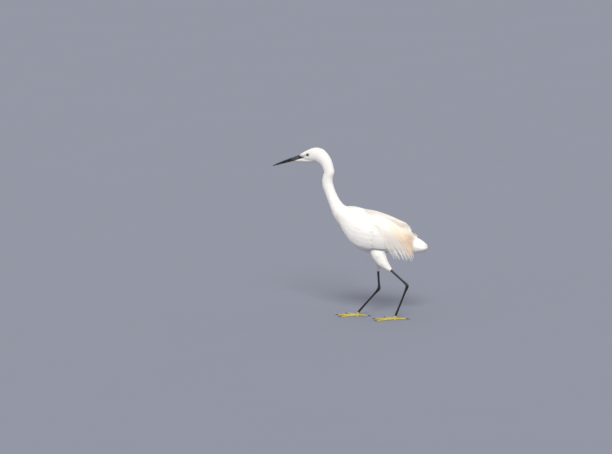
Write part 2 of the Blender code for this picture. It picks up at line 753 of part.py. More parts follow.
def toe_rings(heel, ahead, across, length):
    """Rings along a toe that rests flat on the ground, thicker at its joints."""
    rings = []
    for share in (0.0, 0.15, 0.33, 0.5, 0.67, 0.85, 1.0):
        knuckle = 1.0 + 0.13 * math.cos(math.tau * (share * 3.0 - 0.25))
        wide = (TOE_WIDE + (TOE_TIP_WIDE - TOE_WIDE) * share) * knuckle
        high = (TOE_HIGH + (TOE_TIP_HIGH - TOE_HIGH) * share) * knuckle
        middle = heel + ahead * (length * share)
        ring = []
        for i in range(TOE_SIDES):
            turn = math.tau * (i + 0.5) / TOE_SIDES
            lift = high * (0.42 + 0.58 * math.sin(turn))
            ring.append(middle + across * (wide * math.cos(turn)) + Vector((0.0, 0.0, lift)))
        rings.append(ring)
    return rings


def claw(name, base, ahead, across, length):
    rings = []
    for share in steps(0.0, 1.0, 5):
        radius = CLAW_BASE + (CLAW_TIP - CLAW_BASE) * share**1.2
        lift = 1.95 + 0.5 * math.sin(math.pi * share) - 1.1 * share**1.6
        middle = base + ahead * (length * share) + Vector((0.0, 0.0, lift))
        rings.append(
            [
                middle
                + across * (0.85 * radius * math.cos(math.tau * i / CLAW_SIDES))
                + Vector((0.0, 0.0, radius * math.sin(math.tau * i / CLAW_SIDES)))
                for i in range(CLAW_SIDES)
            ]
        )
    return shade(loft(name, rings, horn()))


def make_foot(word, side):
    centre = Vector((FEET[word][0], side * FEET[word][1], 0.0))
    rows = LOWER_LEGS[word]
    top = limb_ring(rows, SOLE_ROW, side)
    pad = []
    for share in steps(0.0, 1.0, 5):
        ring = []
        for i, point in enumerate(top):
            turn = math.tau * i / len(top)
            below = centre + Vector((-PAD_RADIUS * math.cos(turn), 0.85 * PAD_RADIUS * math.sin(turn), -PAD_SUNK))
            ring.append(below.lerp(point, share**0.7))
        pad.append(ring)
    foot = loft("foot_" + word, pad, material("yellow_skin", YELLOW, 0.55))
    toes = []
    for toe, (degrees, length, claw_length) in TOES.items():
        turn = math.radians(degrees)
        ahead = Vector((-math.cos(turn), side * math.sin(turn), 0.0))
        across = Vector((-ahead.y, ahead.x, 0.0))
        toes.append(loft("toe", toe_rings(centre, ahead, across, length)))
        base = centre + ahead * (length + GAP)
        claw(f"claw_{word}_{toe}", base, ahead, across, claw_length)
    combine(foot, toes, "UNION")
    corner = centre + Vector((-120.0, -120.0, -20.0))
    sides = Vector((240.0, 0, 0)), Vector((0, 240.0, 0)), Vector((0, 0, 20.0))
    ground = box_piece("ground_cut", corner, *sides)
    combine(foot, [ground], "DIFFERENCE")
    return shade(foot)


def centre_on_origin():
    """Moves the whole bird along its length, so that the middle of its box is over the origin."""
    pieces = bpy.context.scene.collection.objects
    places = [vert.co.x for obj in pieces for vert in obj.data.vertices]
    shift = Matrix.Translation((-(min(places) + max(places)) / 2, 0.0, 0.0))
    for obj in pieces:
        obj.data.transform(shift)


def make_egret():
    clear_scene()
    make_body()
    make_bill()
    for word, side in SIDES:
        make_wing(word, side)
    make_back_plumes()
    make_tail()
    make_legs()
    for word, side in SIDES:
        make_foot(word, side)
    centre_on_origin()


make_egret()
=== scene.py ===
import math
from functools import partial

import bmesh
import bpy
import numpy as np
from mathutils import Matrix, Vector


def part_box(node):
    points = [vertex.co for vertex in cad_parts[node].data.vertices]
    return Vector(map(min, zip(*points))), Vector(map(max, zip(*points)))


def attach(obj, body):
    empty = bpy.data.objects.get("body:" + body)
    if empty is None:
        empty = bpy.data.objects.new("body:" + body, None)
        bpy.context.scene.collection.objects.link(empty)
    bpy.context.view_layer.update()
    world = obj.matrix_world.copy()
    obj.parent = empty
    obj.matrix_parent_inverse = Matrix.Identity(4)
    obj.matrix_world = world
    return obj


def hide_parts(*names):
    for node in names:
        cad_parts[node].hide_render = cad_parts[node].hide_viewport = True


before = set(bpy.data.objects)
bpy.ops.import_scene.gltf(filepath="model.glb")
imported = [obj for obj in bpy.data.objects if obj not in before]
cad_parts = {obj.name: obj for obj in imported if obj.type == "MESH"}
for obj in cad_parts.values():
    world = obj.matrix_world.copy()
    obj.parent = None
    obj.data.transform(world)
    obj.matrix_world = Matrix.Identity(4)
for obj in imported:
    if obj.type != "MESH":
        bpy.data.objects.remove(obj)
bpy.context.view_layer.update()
print("frame loaded:", len(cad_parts), "nodes")

# Sizes are in millimetres and become metres where points are made.
# The bird faces -X and its left side is at -Y.
mm = 0.001
left, right = -1, 1
sides = (("left", left), ("right", right))
tau = math.tau

eye = {"along": -121.8, "high": 448.2, "out": 7.6, "radius": 5.8, "rim": 5.6, "iris": 1.4}
eyeLow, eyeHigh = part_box("eye_left")
alongShift = (eyeLow.x + eyeHigh.x) / 2 - eye["along"] * mm
shiftBy = np.array([alongShift, 0.0, 0.0])

# Cuts across the body from the bill's base to the rump, as in the solids:
# back x and z, breast or belly x and z, half the width
bodyRows = [
    (-150.7, 447.1, -147.0, 433.3, 5.4),
    (-144.5, 450.4, -139.5, 429.2, 8.4),
    (-138.0, 453.8, -131.5, 427.8, 10.6),
    (-125.8, 459.1, -119.0, 427.4, 12.6),
    (-109.0, 465.0, -106.5, 426.8, 14.2),
    (-92.5, 465.2, -100.6, 425.4, 14.6),
    (-77.0, 457.8, -94.6, 422.6, 14.4),
    (-60.6, 436.0, -87.4, 416.2, 13.4),
    (-53.8, 409.5, -82.4, 406.0, 12.6),
    (-52.9, 398.0, -81.6, 397.6, 12.2),
    (-57.0, 388.0, -84.6, 389.4, 12.2),
    (-60.2, 375.5, -88.2, 376.0, 12.4),
    (-58.8, 361.0, -87.4, 359.0, 12.8),
    (-53.6, 342.5, -81.0, 338.0, 13.4),
    (-44.5, 323.5, -74.4, 317.0, 15.2),
    (-34.0, 309.5, -67.6, 296.5, 18.0),
    (-24.0, 304.8, -58.2, 277.0, 21.8),
    (-10.0, 304.5, -42.6, 252.0, 27.0),
    (6.0, 301.0, -27.0, 226.0, 31.0),
    (25.0, 295.5, -8.0, 201.5, 34.5),
    (48.0, 288.3, 20.0, 184.0, 37.0),
    (75.0, 281.0, 52.0, 179.0, 37.0),
    (103.0, 270.5, 85.0, 179.0, 33.0),
    (128.0, 258.0, 115.0, 184.5, 27.0),
    (148.0, 245.0, 141.0, 194.0, 19.0),
    (165.0, 233.0, 161.0, 205.0, 11.5),
]
rumpPlace = len(bodyRows) - 1.0

# The folded wings lie on the body's cuts made wider, and run out past the rump
wingLie = {"firstRow": 16, "lift": 1.0, "widen": 8.0, "atFirst": 0.2, "eachRow": 0.3}
wingRear = [
    (150.0, 247.0, 143.0, 193.0, 27.5),
    (172.0, 235.5, 168.0, 199.0, 21.5),
    (194.0, 218.0, 191.0, 199.0, 17.6),
    (208.0, 208.0, 206.0, 197.0, 14.5),
]
wingPlaces = 11.0

# Cuts across the closed tail with its coverts, in the same order as the body's
tailRows = [
    (136.0, 247.0, 128.0, 185.5, 19.0),
    (152.0, 239.0, 146.0, 182.5, 20.5),
    (166.0, 229.0, 162.0, 180.5, 20.0),
    (179.0, 220.0, 177.0, 180.5, 19.0),
    (191.0, 212.5, 191.0, 182.0, 17.5),
    (201.0, 205.0, 202.0, 185.0, 14.0),
    (208.0, 198.0, 208.0, 189.5, 6.5),
]


def curveThrough(rows, place):
    # a smooth curve through all rows, read at any places
    rows = np.asarray(rows, float)
    place = np.clip(np.asarray(place, float), 0.0, len(rows) - 1.0)
    first = np.minimum(place.astype(int), len(rows) - 2)
    part = (place - first)[..., None]
    a, b, c, d = (rows[np.clip(first + step, 0, len(rows) - 1)] for step in (-1, 0, 1, 2))
    square = 2 * a - 5 * b + 4 * c - d
    cube = 3 * b - a - 3 * c + d
    return 0.5 * (2 * b + (c - a) * part + square * part**2 + cube * part**3)


def unit(vectors):
    return vectors / np.maximum(np.linalg.norm(vectors, axis=-1, keepdims=True), 1e-12)


def smoothStep(value):
    value = np.clip(value, 0.0, 1.0)
    return value * value * (3.0 - 2.0 * value)


def swell(value, middle, wide):
    # 1 in the middle, falling away evenly to both sides
    return np.exp(-(((value - middle) / wide) ** 2))


def between(first, last, share):
    return first + (last - first) * share


def ramp(steps, place):
    # steps: the value before and after, the place where the change starts, and how long it takes
    before, after, start, over = steps
    return between(before, after, smoothStep((place - start) / over))


def asArrays(*values):
    return np.broadcast_arrays(*(np.asarray(value, float) for value in values))


def roundTurns(count, full=360.0):
    return np.linspace(0.0, full, count, endpoint=False)


def onForm(rows, place, degrees, out):
    # 0 degrees is the back, 90 the right side, 180 the belly
    place, degrees, out = asArrays(place, degrees, out)
    row = curveThrough(rows, place)
    zero = np.zeros_like(place)
    back = np.stack([row[..., 0], zero, row[..., 1]], -1)
    front = np.stack([row[..., 2], zero, row[..., 3]], -1)
    middle = (back + front) / 2
    up = back - middle
    across = np.stack([zero, row[..., 4], zero], -1)
    turn = np.radians(degrees)[..., None]
    upSquare = np.sum(up * up, -1, keepdims=True)
    acrossSquare = np.sum(across * across, -1, keepdims=True)
    outward = unit(up * np.cos(turn) / upSquare + across * np.sin(turn) / acrossSquare)
    point = middle + up * np.cos(turn) + across * np.sin(turn) + outward * out[..., None]
    return point * mm + shiftBy


def makeWingRows():
    # the wings come out of the shoulders flush and widen over the first rows
    look = wingLie
    rows = []
    for number, (backX, backZ, frontX, frontZ, half) in enumerate(bodyRows[look["firstRow"] : -2]):
        widen = look["widen"] * min(look["atFirst"] + look["eachRow"] * number, 1.0)
        rows.append((backX, backZ + look["lift"], frontX, frontZ - look["lift"], half + widen))
    return rows + wingRear


# A surface takes a place, degrees and a distance out of the form
bodySurface = partial(onForm, bodyRows)
wingSurface = partial(onForm, makeWingRows())
tailSurface = partial(onForm, tailRows)

# Plumes that run over the wings hang straight down once past the widest part
hanging = {"from": 100.0, "radius": 42.0, "back": 0.12, "aside": 0.06}


def drapedSurface(place, degrees, out):
    place, degrees, out = asArrays(place, degrees, out)
    side = np.where(degrees > 0, 1.0, -1.0)
    over = np.maximum(np.abs(degrees) - hanging["from"], 0.0)
    point = wingSurface(place, side * np.minimum(np.abs(degrees), hanging["from"]), out)
    drop = np.radians(over) * hanging["radius"] * mm
    fall = np.stack([np.full_like(side, hanging["back"]), hanging["aside"] * side, -np.ones_like(side)], -1)
    return point + drop[..., None] * fall


def placePiece(name, mesh, finish):
    piece = bpy.data.objects.new(name, mesh)
    bpy.context.scene.collection.objects.link(piece)
    mesh.materials.append(finish)
    return piece


def newPiece(name, points, faces, finish):
    mesh = bpy.data.meshes.new(name)
    mesh.from_pydata(np.asarray(points, float).reshape(-1, 3).tolist(), [], faces)
    mesh.update()
    return placePiece(name, mesh, finish)


def gridFaces(ringCount, count, first=0):
    # quads between closed rings of equal counts
    faces = []
    for ring in range(ringCount - 1):
        start = first + ring * count
        for i in range(count):
            after = (i + 1) % count
            faces.append((start + i, start + after, start + count + after, start + count + i))
    return faces


def turnOutwards(piece):
    build = bmesh.new()
    build.from_mesh(piece.data)
    bmesh.ops.recalc_face_normals(build, faces=build.faces)
    if build.calc_volume(signed=True) < 0:
        bmesh.ops.reverse_faces(build, faces=build.faces)
    build.to_mesh(piece.data)
    build.free()


def smooth(piece, sharpDegrees=60.0):
    piece.data.shade_smooth()
    piece.data.set_sharp_from_angle(angle=math.radians(sharpDegrees))
    return piece


def loftPiece(name, rings, finish, sharpDegrees=60.0):
    # closed form through rings of equal counts
    rings = np.asarray(rings, float)
    ringCount, count = rings.shape[:2]
    caps = [tuple(range(count)), tuple(range((ringCount - 1) * count, ringCount * count))]
    piece = newPiece(name, rings, caps + gridFaces(ringCount, count), finish)
    turnOutwards(piece)
    return smooth(piece, sharpDegrees)


def finishPiece(piece, replaced=()):
    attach(piece, "root")
    if replaced:
        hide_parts(*replaced)
    return piece


# Finishes: small helpers that make nodes and wire them
def newFinish(name, roughness, **sockets):
    made = bpy.data.materials.new(name)
    made.use_nodes = True
    shader = made.node_tree.nodes["Principled BSDF"]
    shader.inputs["Roughness"].default_value = roughness
    for socket, value in sockets.items():
        shader.inputs[socket.replace("_", " ")].default_value = value
    return made, made.node_tree, shader


def feed(socket, value):
    # a colour or number is set on the socket, an output is linked to it
    if isinstance(value, bpy.types.NodeSocket):
        socket.id_data.links.new(value, socket)
    elif isinstance(value, tuple):
        socket.default_value = (*value, 1.0)
    else:
        socket.default_value = value


def addNode(tree, kind, **settings):
    node = tree.nodes.new(kind)
    for name, value in settings.items():
        setattr(node, name, value)
    return node


def position(tree):
    return addNode(tree, "ShaderNodeNewGeometry").outputs["Position"]


def positionParts(tree):
    parts = addNode(tree, "ShaderNodeSeparateXYZ")
    feed(parts.inputs[0], position(tree))
    return parts.outputs["X"], parts.outputs["Z"]


def positionNoise(tree, scale, detail=3.0):
    noise = addNode(tree, "ShaderNodeTexNoise")
    feed(noise.inputs["Scale"], scale)
    feed(noise.inputs["Detail"], detail)
    feed(noise.inputs["Vector"], position(tree))
    return noise.outputs["Fac"]


def attribute(tree, name):
    return addNode(tree, "ShaderNodeAttribute", attribute_name=name).outputs["Fac"]


def mixColours(factor, first, second):
    mix = addNode(factor.id_data, "ShaderNodeMix", data_type="RGBA")
    for socket, value in ((mix.inputs["Factor"], factor), (mix.inputs[6], first), (mix.inputs[7], second)):
        feed(socket, value)
    return mix.outputs[2]


def mapRange(value, low, high, toLow=0.0, toHigh=1.0, smoothly=False):
    ranged = addNode(value.id_data, "ShaderNodeMapRange")
    if smoothly:
        ranged.interpolation_type = "SMOOTHSTEP"
    words = ("Value", "From Min", "From Max", "To Min", "To Max")
    for socket, number in zip(words, (value, low, high, toLow, toHigh)):
        feed(ranged.inputs[socket], number)
    return ranged.outputs["Result"]


def math2(operation, first, second):
    step = addNode(first.id_data, "ShaderNodeMath", operation=operation)
    feed(step.inputs[0], first)
    feed(step.inputs[1], second)
    return step.outputs[0]


def addBump(shader, height, distance, strength=1.0):
    bump = addNode(shader.id_data, "ShaderNodeBump")
    feed(bump.inputs["Distance"], distance)
    feed(bump.inputs["Strength"], strength)
    feed(bump.inputs["Height"], height)
    feed(shader.inputs["Normal"], bump.outputs["Normal"])


def grainFinish(name, roughness, scale, dark, pale, depth, strength):
    # two colours in a fine grain that also makes the bump
    made, tree, shader = newFinish(name, roughness)
    grain = positionNoise(tree, scale)
    feed(shader.inputs["Base Color"], mixColours(grain, dark, pale))
    addBump(shader, grain, depth, strength)
    return made


featherLook = {
    "white": (0.95, 0.93, 0.895),
    "warm": (0.95, 0.88, 0.81),
    "cream": (0.99, 0.82, 0.63),
    "barbEvery": 0.8,
    "barbSlant": 1.3,
    "barbDepth": 0.00006,
    "sheen": 0.2,
    "darkest": 0.88,
    "clouds": 38.0,
    "faint": 0.25,
    "rough": (0.7, 0.88),
}


def featherFinish(name, tinted):
    # barbs as a fine ripple slanting off the shaft, a faint cloudiness, and the warmth stored in the mesh:
    # the cream of the plumes, and painted shade on the throat, the front of the neck, the chin and the
    # belly
    look = featherLook
    made, tree, shader = newFinish(name, 0.8, Sheen_Weight=look["sheen"], Sheen_Roughness=0.5)
    cloud = positionNoise(tree, look["clouds"], 4.0)
    faint = mapRange(cloud, 0.42, 0.72, 0.0, look["faint"])
    warmth = math2("ADD", faint, attribute(tree, "warmth"))
    warmth.node.use_clamp = True
    shade = addNode(tree, "ShaderNodeVectorMath", operation="SCALE")
    feed(shade.inputs[0], mixColours(warmth, look["white"], tinted))
    feed(shade.inputs["Scale"], mapRange(attribute(tree, "tone"), 0.0, 1.0, look["darkest"], 1.0))
    feed(shader.inputs["Base Color"], shade.outputs[0])
    ripple = math2("SINE", math2("MULTIPLY", attribute(tree, "barb"), tau), 0.0)
    addBump(shader, ripple, look["barbDepth"], 0.5)
    feed(shader.inputs["Roughness"], mapRange(cloud, 0.3, 0.7, *look["rough"]))
    return made


whiteFeathers = featherFinish("whiteFeathers", featherLook["warm"])
creamFeathers = featherFinish("creamFeathers", featherLook["cream"])


# The bare skin between the bill and the eye, as sloping lines of x and z
lores = {"front": -151.0, "rear": -126.5, "top": (445.0, 449.6), "low": (437.0, 442.8), "blend": 1.2}
skinColours = {
    "white": ((0.9, 0.885, 0.87), (0.88, 0.85, 0.82)),
    "bare": ((0.5, 0.52, 0.45), (0.62, 0.62, 0.54)),
}


def makeSkinFinish():
    made, tree, shader = newFinish("paleSkin", 0.6)
    cloud = positionNoise(tree, 60.0)
    white, bare = (mixColours(cloud, *skinColours[word]) for word in ("white", "bare"))
    x, z = positionParts(tree)
    front, rear = (lores[word] * mm + alongShift for word in ("front", "rear"))
    blend = lores["blend"] * mm
    top, low = (
        mapRange(x, front, rear, *(value * mm for value in lores[word])) for word in ("top", "low")
    )
    under = mapRange(math2("SUBTRACT", top, z), -blend, blend)
    over = mapRange(math2("SUBTRACT", z, low), -blend, blend)
    ahead = mapRange(x, rear + blend, rear + 4 * blend, 1.0, 0.0)
    mask = math2("MULTIPLY", math2("MULTIPLY", under, over), ahead)
    feed(shader.inputs["Base Color"], mixColours(mask, white, bare))
    addBump(shader, positionNoise(tree, 900.0, 2.0), 0.0003, 0.4)
    return made


paleSkin = makeSkinFinish()

# Sections of a strand and of a vane with its shaft: side and rise round the edge
strandSection = {"profile": [(-1.0, 0.0), (0.0, 1.0), (1.0, 0.0)], "thick": 0.22, "hug": 0.0}
vaneHalf = [(-1.0, 0.0), (-0.55, 0.55), (-0.1, 0.85)]
vaneSection = {
    "profile": vaneHalf + [(0.0, 1.25)] + [(-side, rise) for side, rise in vaneHalf[::-1]] + [(0.0, 0.0)],
    "thick": 0.3,
    "hug": 0.01,
}
bakePatch = {"size": 0.003, "spread": 0.99}  # each strand's own small field on the OFBake map


def sweepMany(name, lie, half, sectionLook, patches, warmth, chance, finish):
    # Many slender closed forms in one mesh. lie holds their spines, across and up, (number, stops, 3)
    # each, and half is (number, stops) in mm. The section's hug bends its edges down.
    spine, across, up = lie
    number, stops = spine.shape[:2]
    section = np.asarray(sectionLook["profile"], float)
    around = len(section)
    reach = half[:, :, None] * section[:, 0]
    rise = sectionLook["thick"] * section[:, 1] - sectionLook["hug"] * reach**2
    points = spine[:, :, None, :] + across[:, :, None, :] * (reach[..., None] * mm)
    points = points + up[:, :, None, :] * (rise[..., None] * mm)
    base = np.arange(number)[:, None, None] * stops * around
    start = base + np.arange(stops - 1)[None, :, None] * around
    here = np.arange(around)
    after = (here + 1) % around
    quads = np.stack([start + here, start + after, start + around + after, start + around + here], -1)
    firstCap = base[:, 0] + here[::-1]
    lastCap = base[:, 0] + (stops - 1) * around + here
    corners = np.concatenate([quads.reshape(-1), firstCap.reshape(-1), lastCap.reshape(-1)])
    capStart = quads.size + np.arange(2 * number) * around
    starts = np.concatenate([np.arange(quads.size // 4) * 4, capStart])
    mesh = bpy.data.meshes.new(name)
    mesh.vertices.add(number * stops * around)
    mesh.vertices.foreach_set("co", points.reshape(-1))
    mesh.loops.add(len(corners))
    mesh.loops.foreach_set("vertex_index", corners.astype(np.int32))
    mesh.polygons.add(len(starts))
    mesh.polygons.foreach_set("loop_start", starts.astype(np.int32))
    mesh.update(calc_edges=True)
    mesh.shade_smooth()
    mesh.set_sharp_from_angle(angle=math.radians(70.0))
    length = np.linalg.norm(np.diff(spine, axis=1), axis=2).cumsum(axis=1) / mm
    length = np.concatenate([np.zeros((number, 1)), length], 1)
    barb = (length[:, :, None] - featherLook["barbSlant"] * np.abs(reach)) / featherLook["barbEvery"]
    tone = np.repeat(chance.random(number), stops * around)
    warm = np.broadcast_to(np.asarray(warmth, float).reshape(number, -1), (number, stops))
    warm = np.repeat(warm.reshape(-1), around)
    for word, values in (("barb", barb.reshape(-1)), ("tone", tone), ("warmth", warm)):
        stored = mesh.attributes.new(word, "FLOAT", "POINT")
        stored.data.foreach_set("value", values.astype(np.float32))
    corner = patches * bakePatch["spread"]
    u = corner[:, 0, None, None] + np.linspace(0.0, bakePatch["size"], stops)[None, :, None]
    v = corner[:, 1, None, None] + (section[:, 0] + 1.0) * bakePatch["size"] / 2
    flat = np.stack(np.broadcast_arrays(u, v), -1).reshape(-1, 2)[corners]
    layer = mesh.uv_layers.new(name="OFBake")
    layer.data.foreach_set("uv", flat.reshape(-1).astype(np.float32))
    return placePiece(name, mesh, finish)


def layAlong(surface, along, degrees, lifts):
    # Spines that follow a surface, each array (number, stops), the lifts in mm
    spine = surface(along, degrees, lifts)
    up = unit(surface(along, degrees, lifts + 1.0) - spine)
    ahead = unit(np.gradient(spine, axis=1))
    across = unit(np.cross(ahead, up))
    return spine, across, unit(np.cross(across, ahead))


def fromTo(start, end, part):
    return between(start.reshape(-1, 1), end.reshape(-1, 1), part)


def lengthAlong(path):
    return np.concatenate([[0.0], np.cumsum(np.linalg.norm(np.diff(path, axis=0), axis=1))]) / mm


def placesPerMm(surface, place, turn):
    # how far a place moves for each millimetre along the surface
    step = 0.04
    place = np.maximum(place, step)
    near = surface(place + step, turn, 0.0) - surface(place - step, turn, 0.0)
    return 2 * step * mm / np.maximum(np.linalg.norm(near, axis=-1), 1e-9)


def turnsPerMm(surface, place, turn):
    near = surface(place, turn + 1.0, 0.0) - surface(place, turn - 1.0, 0.0)
    return 2.0 * mm / np.maximum(np.linalg.norm(near, axis=-1), 1e-9)


def spreadRows(surface, look, chance, side=1.0, scatter=0.35):
    # Roots in staggered rows. rows is the first and last place and degrees; gaps is the gap along and
    # the gap around in mm, each at place 0 and with its rise for each place.
    first, last, fromTurn, toTurn = look["rows"]
    fine = np.linspace(side * fromTurn, side * toTurn, 73)
    middle = np.array([side * (fromTurn + toTurn) / 2])
    places, turns = [], []
    place, odd = first, 0.0
    while place < last:
        alongGap, aroundGap = (gap + rise * place for gap, rise in look["gaps"])
        length = lengthAlong(surface(np.full(len(fine), place), fine, 0.0))
        count = max(int(length[-1] / aroundGap), 2)
        number = np.arange(count) + 0.5 * odd + chance.uniform(-scatter, scatter, count)
        turns.append(np.interp(number * length[-1] / count % length[-1], length, fine))
        step = placesPerMm(surface, np.array([place]), middle)[0] * alongGap
        places.append(place + chance.uniform(-scatter, scatter, count) * step)
        place += step
        odd = 1.0 - odd
    return np.maximum(np.concatenate(places), 0.0), np.concatenate(turns)


def formPatches(place, turn, placeCount):
    # the root's place on an unwrap of the skin: along it and round it
    return np.stack([place / placeCount, (turn % 360.0) / 360.0], -1).clip(0.0, 1.0)


def rising(pair, place):
    # a size at place 0 and its rise for each place
    return pair[0] + pair[1] * place


tuftShape = {"fanScatter": 0.3, "reach": (0.86, 1.1), "risenAt": 0.55, "taperAt": [0.0, 0.35, 0.7, 1.0]}


def layTufts(name, surface, look, place, turn, chance, warmth=0.0, length=None, placeCount=rumpPlace):
    # Tufts of fine strands that fan a little from one root. Lengths are drawn here unless they are given.
    strands, stops = look["strands"], look["stops"]
    count = len(place)
    scatter = (count, strands)
    if length is None:
        plain = np.minimum(rising(look["length"], place), look.get("longest", math.inf))
        length = plain * chance.uniform(1.0 - look["uneven"], 1.0 + look["uneven"], count)
    length = length[:, None]
    half = rising(look["half"], place)[:, None]
    fanScatter = tuftShape["fanScatter"]
    fan = np.linspace(-1.0, 1.0, strands) + chance.uniform(-fanScatter, fanScatter, scatter)
    drift = chance.uniform(-look["stray"], look["stray"], (count, 1))
    perMm = turnsPerMm(surface, place, turn)[:, None]
    rootTurn = turn[:, None] + fan * look["rootSpread"] * half * perMm
    endTurn = turn[:, None] + (fan * look["tipSpread"] * half + drift * length) * perMm
    reach = length * (1.0 - look["rounded"] * fan**2) * chance.uniform(*tuftShape["reach"], scatter)
    rootPlace = np.repeat(place[:, None], strands, 1)
    endPlace = rootPlace + reach * placesPerMm(surface, place, turn)[:, None]
    part = np.linspace(0.0, 1.0, stops)
    top = np.reshape(look["lift"], (-1, 1)) + chance.uniform(-look["ruffle"], look["ruffle"], scatter)
    tuck = np.reshape(look["tuck"], (-1, 1, 1)) * part**2
    lifts = (top[..., None] + look["sunk"]) * smoothStep(part / tuftShape["risenAt"]) - look["sunk"] - tuck
    lie = layAlong(
        surface,
        fromTo(rootPlace, endPlace, part),
        fromTo(rootTurn, endTurn, part),
        lifts.reshape(count * strands, stops),
    )
    taper = np.interp(part, tuftShape["taperAt"], look["taper"])
    wide = np.repeat(half * look["strandWidth"], strands, 0) * taper
    patches = np.repeat(formPatches(place, turn, placeCount), strands, 0)
    section = dict(strandSection, thick=look["thick"])
    warm = np.repeat(np.broadcast_to(warmth, count), strands)
    coat = sweepMany(name, lie, wide, section, patches, warm, chance, whiteFeathers)
    finishPiece(coat)
    print(name, "tufts:", count)


# The skin: one closed form from the bill's base to the rump, with both thighs
skinLook = {
    "rings": 170,
    "around": 72,
    "neck": (1.0, 1.8, 2.0, 4.0),  # how deep it lies, and how the neck and the body change that
    "body": (0.0, 2.7, 14.0, 3.0),
    "thigh": 1.2,
}
# Thighs: x, how far out, z, half depth fore and aft, half width
thighRows = {
    "left": [
        (70.0, 14.0, 197.0, 25.0, 12.0),
        (70.5, 19.0, 182.0, 22.0, 13.5),
        (80.0, 21.5, 163.0, 17.0, 11.5),
        (91.5, 22.0, 149.0, 11.5, 8.5),
        (106.5, 22.0, 136.0, 4.6, 4.6),
    ],
    "right": [
        (56.0, 14.0, 197.0, 24.0, 12.0),
        (53.0, 18.0, 182.0, 20.0, 13.5),
        (49.5, 20.0, 160.0, 13.0, 10.5),
        (48.0, 20.0, 140.0, 7.6, 7.2),
        (47.5, 20.0, 125.0, 4.4, 4.4),
    ],
}


def onLimb(rows, side, place, degrees, out):
    # a limb's surface, square to its line; 0 degrees is its front
    place, degrees, out = asArrays(place, degrees, out)
    near, far = curveThrough(rows, place - 0.05), curveThrough(rows, place + 0.05)
    zero = np.zeros_like(place)
    along = unit(np.stack([far[..., 0] - near[..., 0], zero, far[..., 2] - near[..., 2]], -1))
    fore = np.stack([along[..., 2], zero, -along[..., 0]], -1)
    row = curveThrough(rows, place)
    middle = np.stack([row[..., 0], side * row[..., 1], row[..., 2]], -1)
    aside = np.stack([zero, np.ones_like(place), zero], -1)
    turn = np.radians(degrees)[..., None]
    deep, wide = (row[..., 3] + out)[..., None], (row[..., 4] + out)[..., None]
    point = middle + fore * deep * np.cos(turn) + aside * wide * np.sin(turn)
    return point * mm + shiftBy


def joinInto(target, others):
    group = bpy.data.collections.new("toJoin")
    for other in others:
        group.objects.link(other)
    join = target.modifiers.new("join", "BOOLEAN")
    join.operation = "UNION"
    join.operand_type = "COLLECTION"
    join.collection = group
    join.solver = "EXACT"
    graph = bpy.context.evaluated_depsgraph_get()
    joined = bpy.data.meshes.new_from_object(target.evaluated_get(graph))
    target.modifiers.clear()
    target.data = joined
    for other in others:
        bpy.data.objects.remove(other, do_unlink=True)
    bpy.data.collections.remove(group)


def makeSkin():
    places = np.linspace(0.0, rumpPlace, skinLook["rings"])[:, None]
    depth = ramp(skinLook["neck"], places) + ramp(skinLook["body"], places)
    rings = bodySurface(places, roundTurns(skinLook["around"]), -depth)
    skin = loftPiece("bodySkin", rings, paleSkin)
    thighs = []
    for word, side in sides:
        along = np.linspace(0.0, len(thighRows[word]) - 1.0, 30)[:, None]
        rings = onLimb(thighRows[word], side, along, roundTurns(32), -skinLook["thigh"])
        thighs.append(loftPiece("thigh", rings, paleSkin))
    joinInto(skin, thighs)
    smooth(skin)
    replaced = ["head", "neck_upper", "neck_middle", "neck_lower", "torso", "thigh_left", "thigh_right"]
    finishPiece(skin, replaced)


makeSkin()
print("skin made")

# Head and neck: short, silky tufts that lie flat and point back
headTufts = {
    "rows": (0.1, 8.2, 0.0, 360.0),
    "gaps": ((1.2, 0.11), (1.3, 0.08)),
    "length": (4.2, 0.8),
    "uneven": 0.15,
    "half": (0.75, 0.08),
    "strands": 3,
    "stops": 4,
    "rootSpread": 0.5,
    "tipSpread": 1.1,
    "rounded": 0.15,
    "stray": 0.05,
    "lift": 0.2,
    "sunk": 1.2,
    "ruffle": 0.3,
    "tuck": 0.2,
    "taper": [0.7, 1.0, 0.8, 0.15],
    "strandWidth": 0.75,
    "thick": 0.16,
}
neckTufts = dict(
    headTufts,
    rows=(8.0, 15.8, 0.0, 360.0),
    gaps=((2.6, 0.0), (2.2, 0.0)),
    length=(3.8, 0.9),
    half=(1.5, 0.0),
    stray=0.08,
    sunk=2.0,
    ruffle=0.45,
    lift=0.35,
)


def paintedFrontShade(turn, strength=0.5):
    # painted shade: the throat and the front of the neck, which face away from the light, are made a touch
    # warmer
    return strength * smoothStep((80.0 - np.abs(turn % 360.0 - 180.0)) / 60.0)


def isBareFace(points):
    # the lores and the rims of the eyes carry no tufts
    x, z = (points[:, 0] - alongShift) / mm, points[:, 2] / mm
    share = (x - lores["front"]) / (lores["rear"] - lores["front"])
    top, low = (between(*lores[word], share) for word in ("top", "low"))
    rim = np.hypot(x - eye["along"], z - eye["high"]) < eye["rim"]
    return rim | ((x < lores["rear"]) & (z < top) & (z > low))


def makeHeadCoat():
    chance = np.random.default_rng(11)
    place, turn = spreadRows(bodySurface, headTufts, chance)
    keep = ~isBareFace(bodySurface(place, turn, 0.0))
    place, turn = place[keep], turn[keep]
    layTufts("headCoat", bodySurface, headTufts, place, turn, chance, paintedFrontShade(turn))


def makeNeckCoat():
    chance = np.random.default_rng(12)
    place, turn = spreadRows(bodySurface, neckTufts, chance)
    layTufts("neckCoat", bodySurface, neckTufts, place, turn, chance, paintedFrontShade(turn))


makeHeadCoat()
makeNeckCoat()

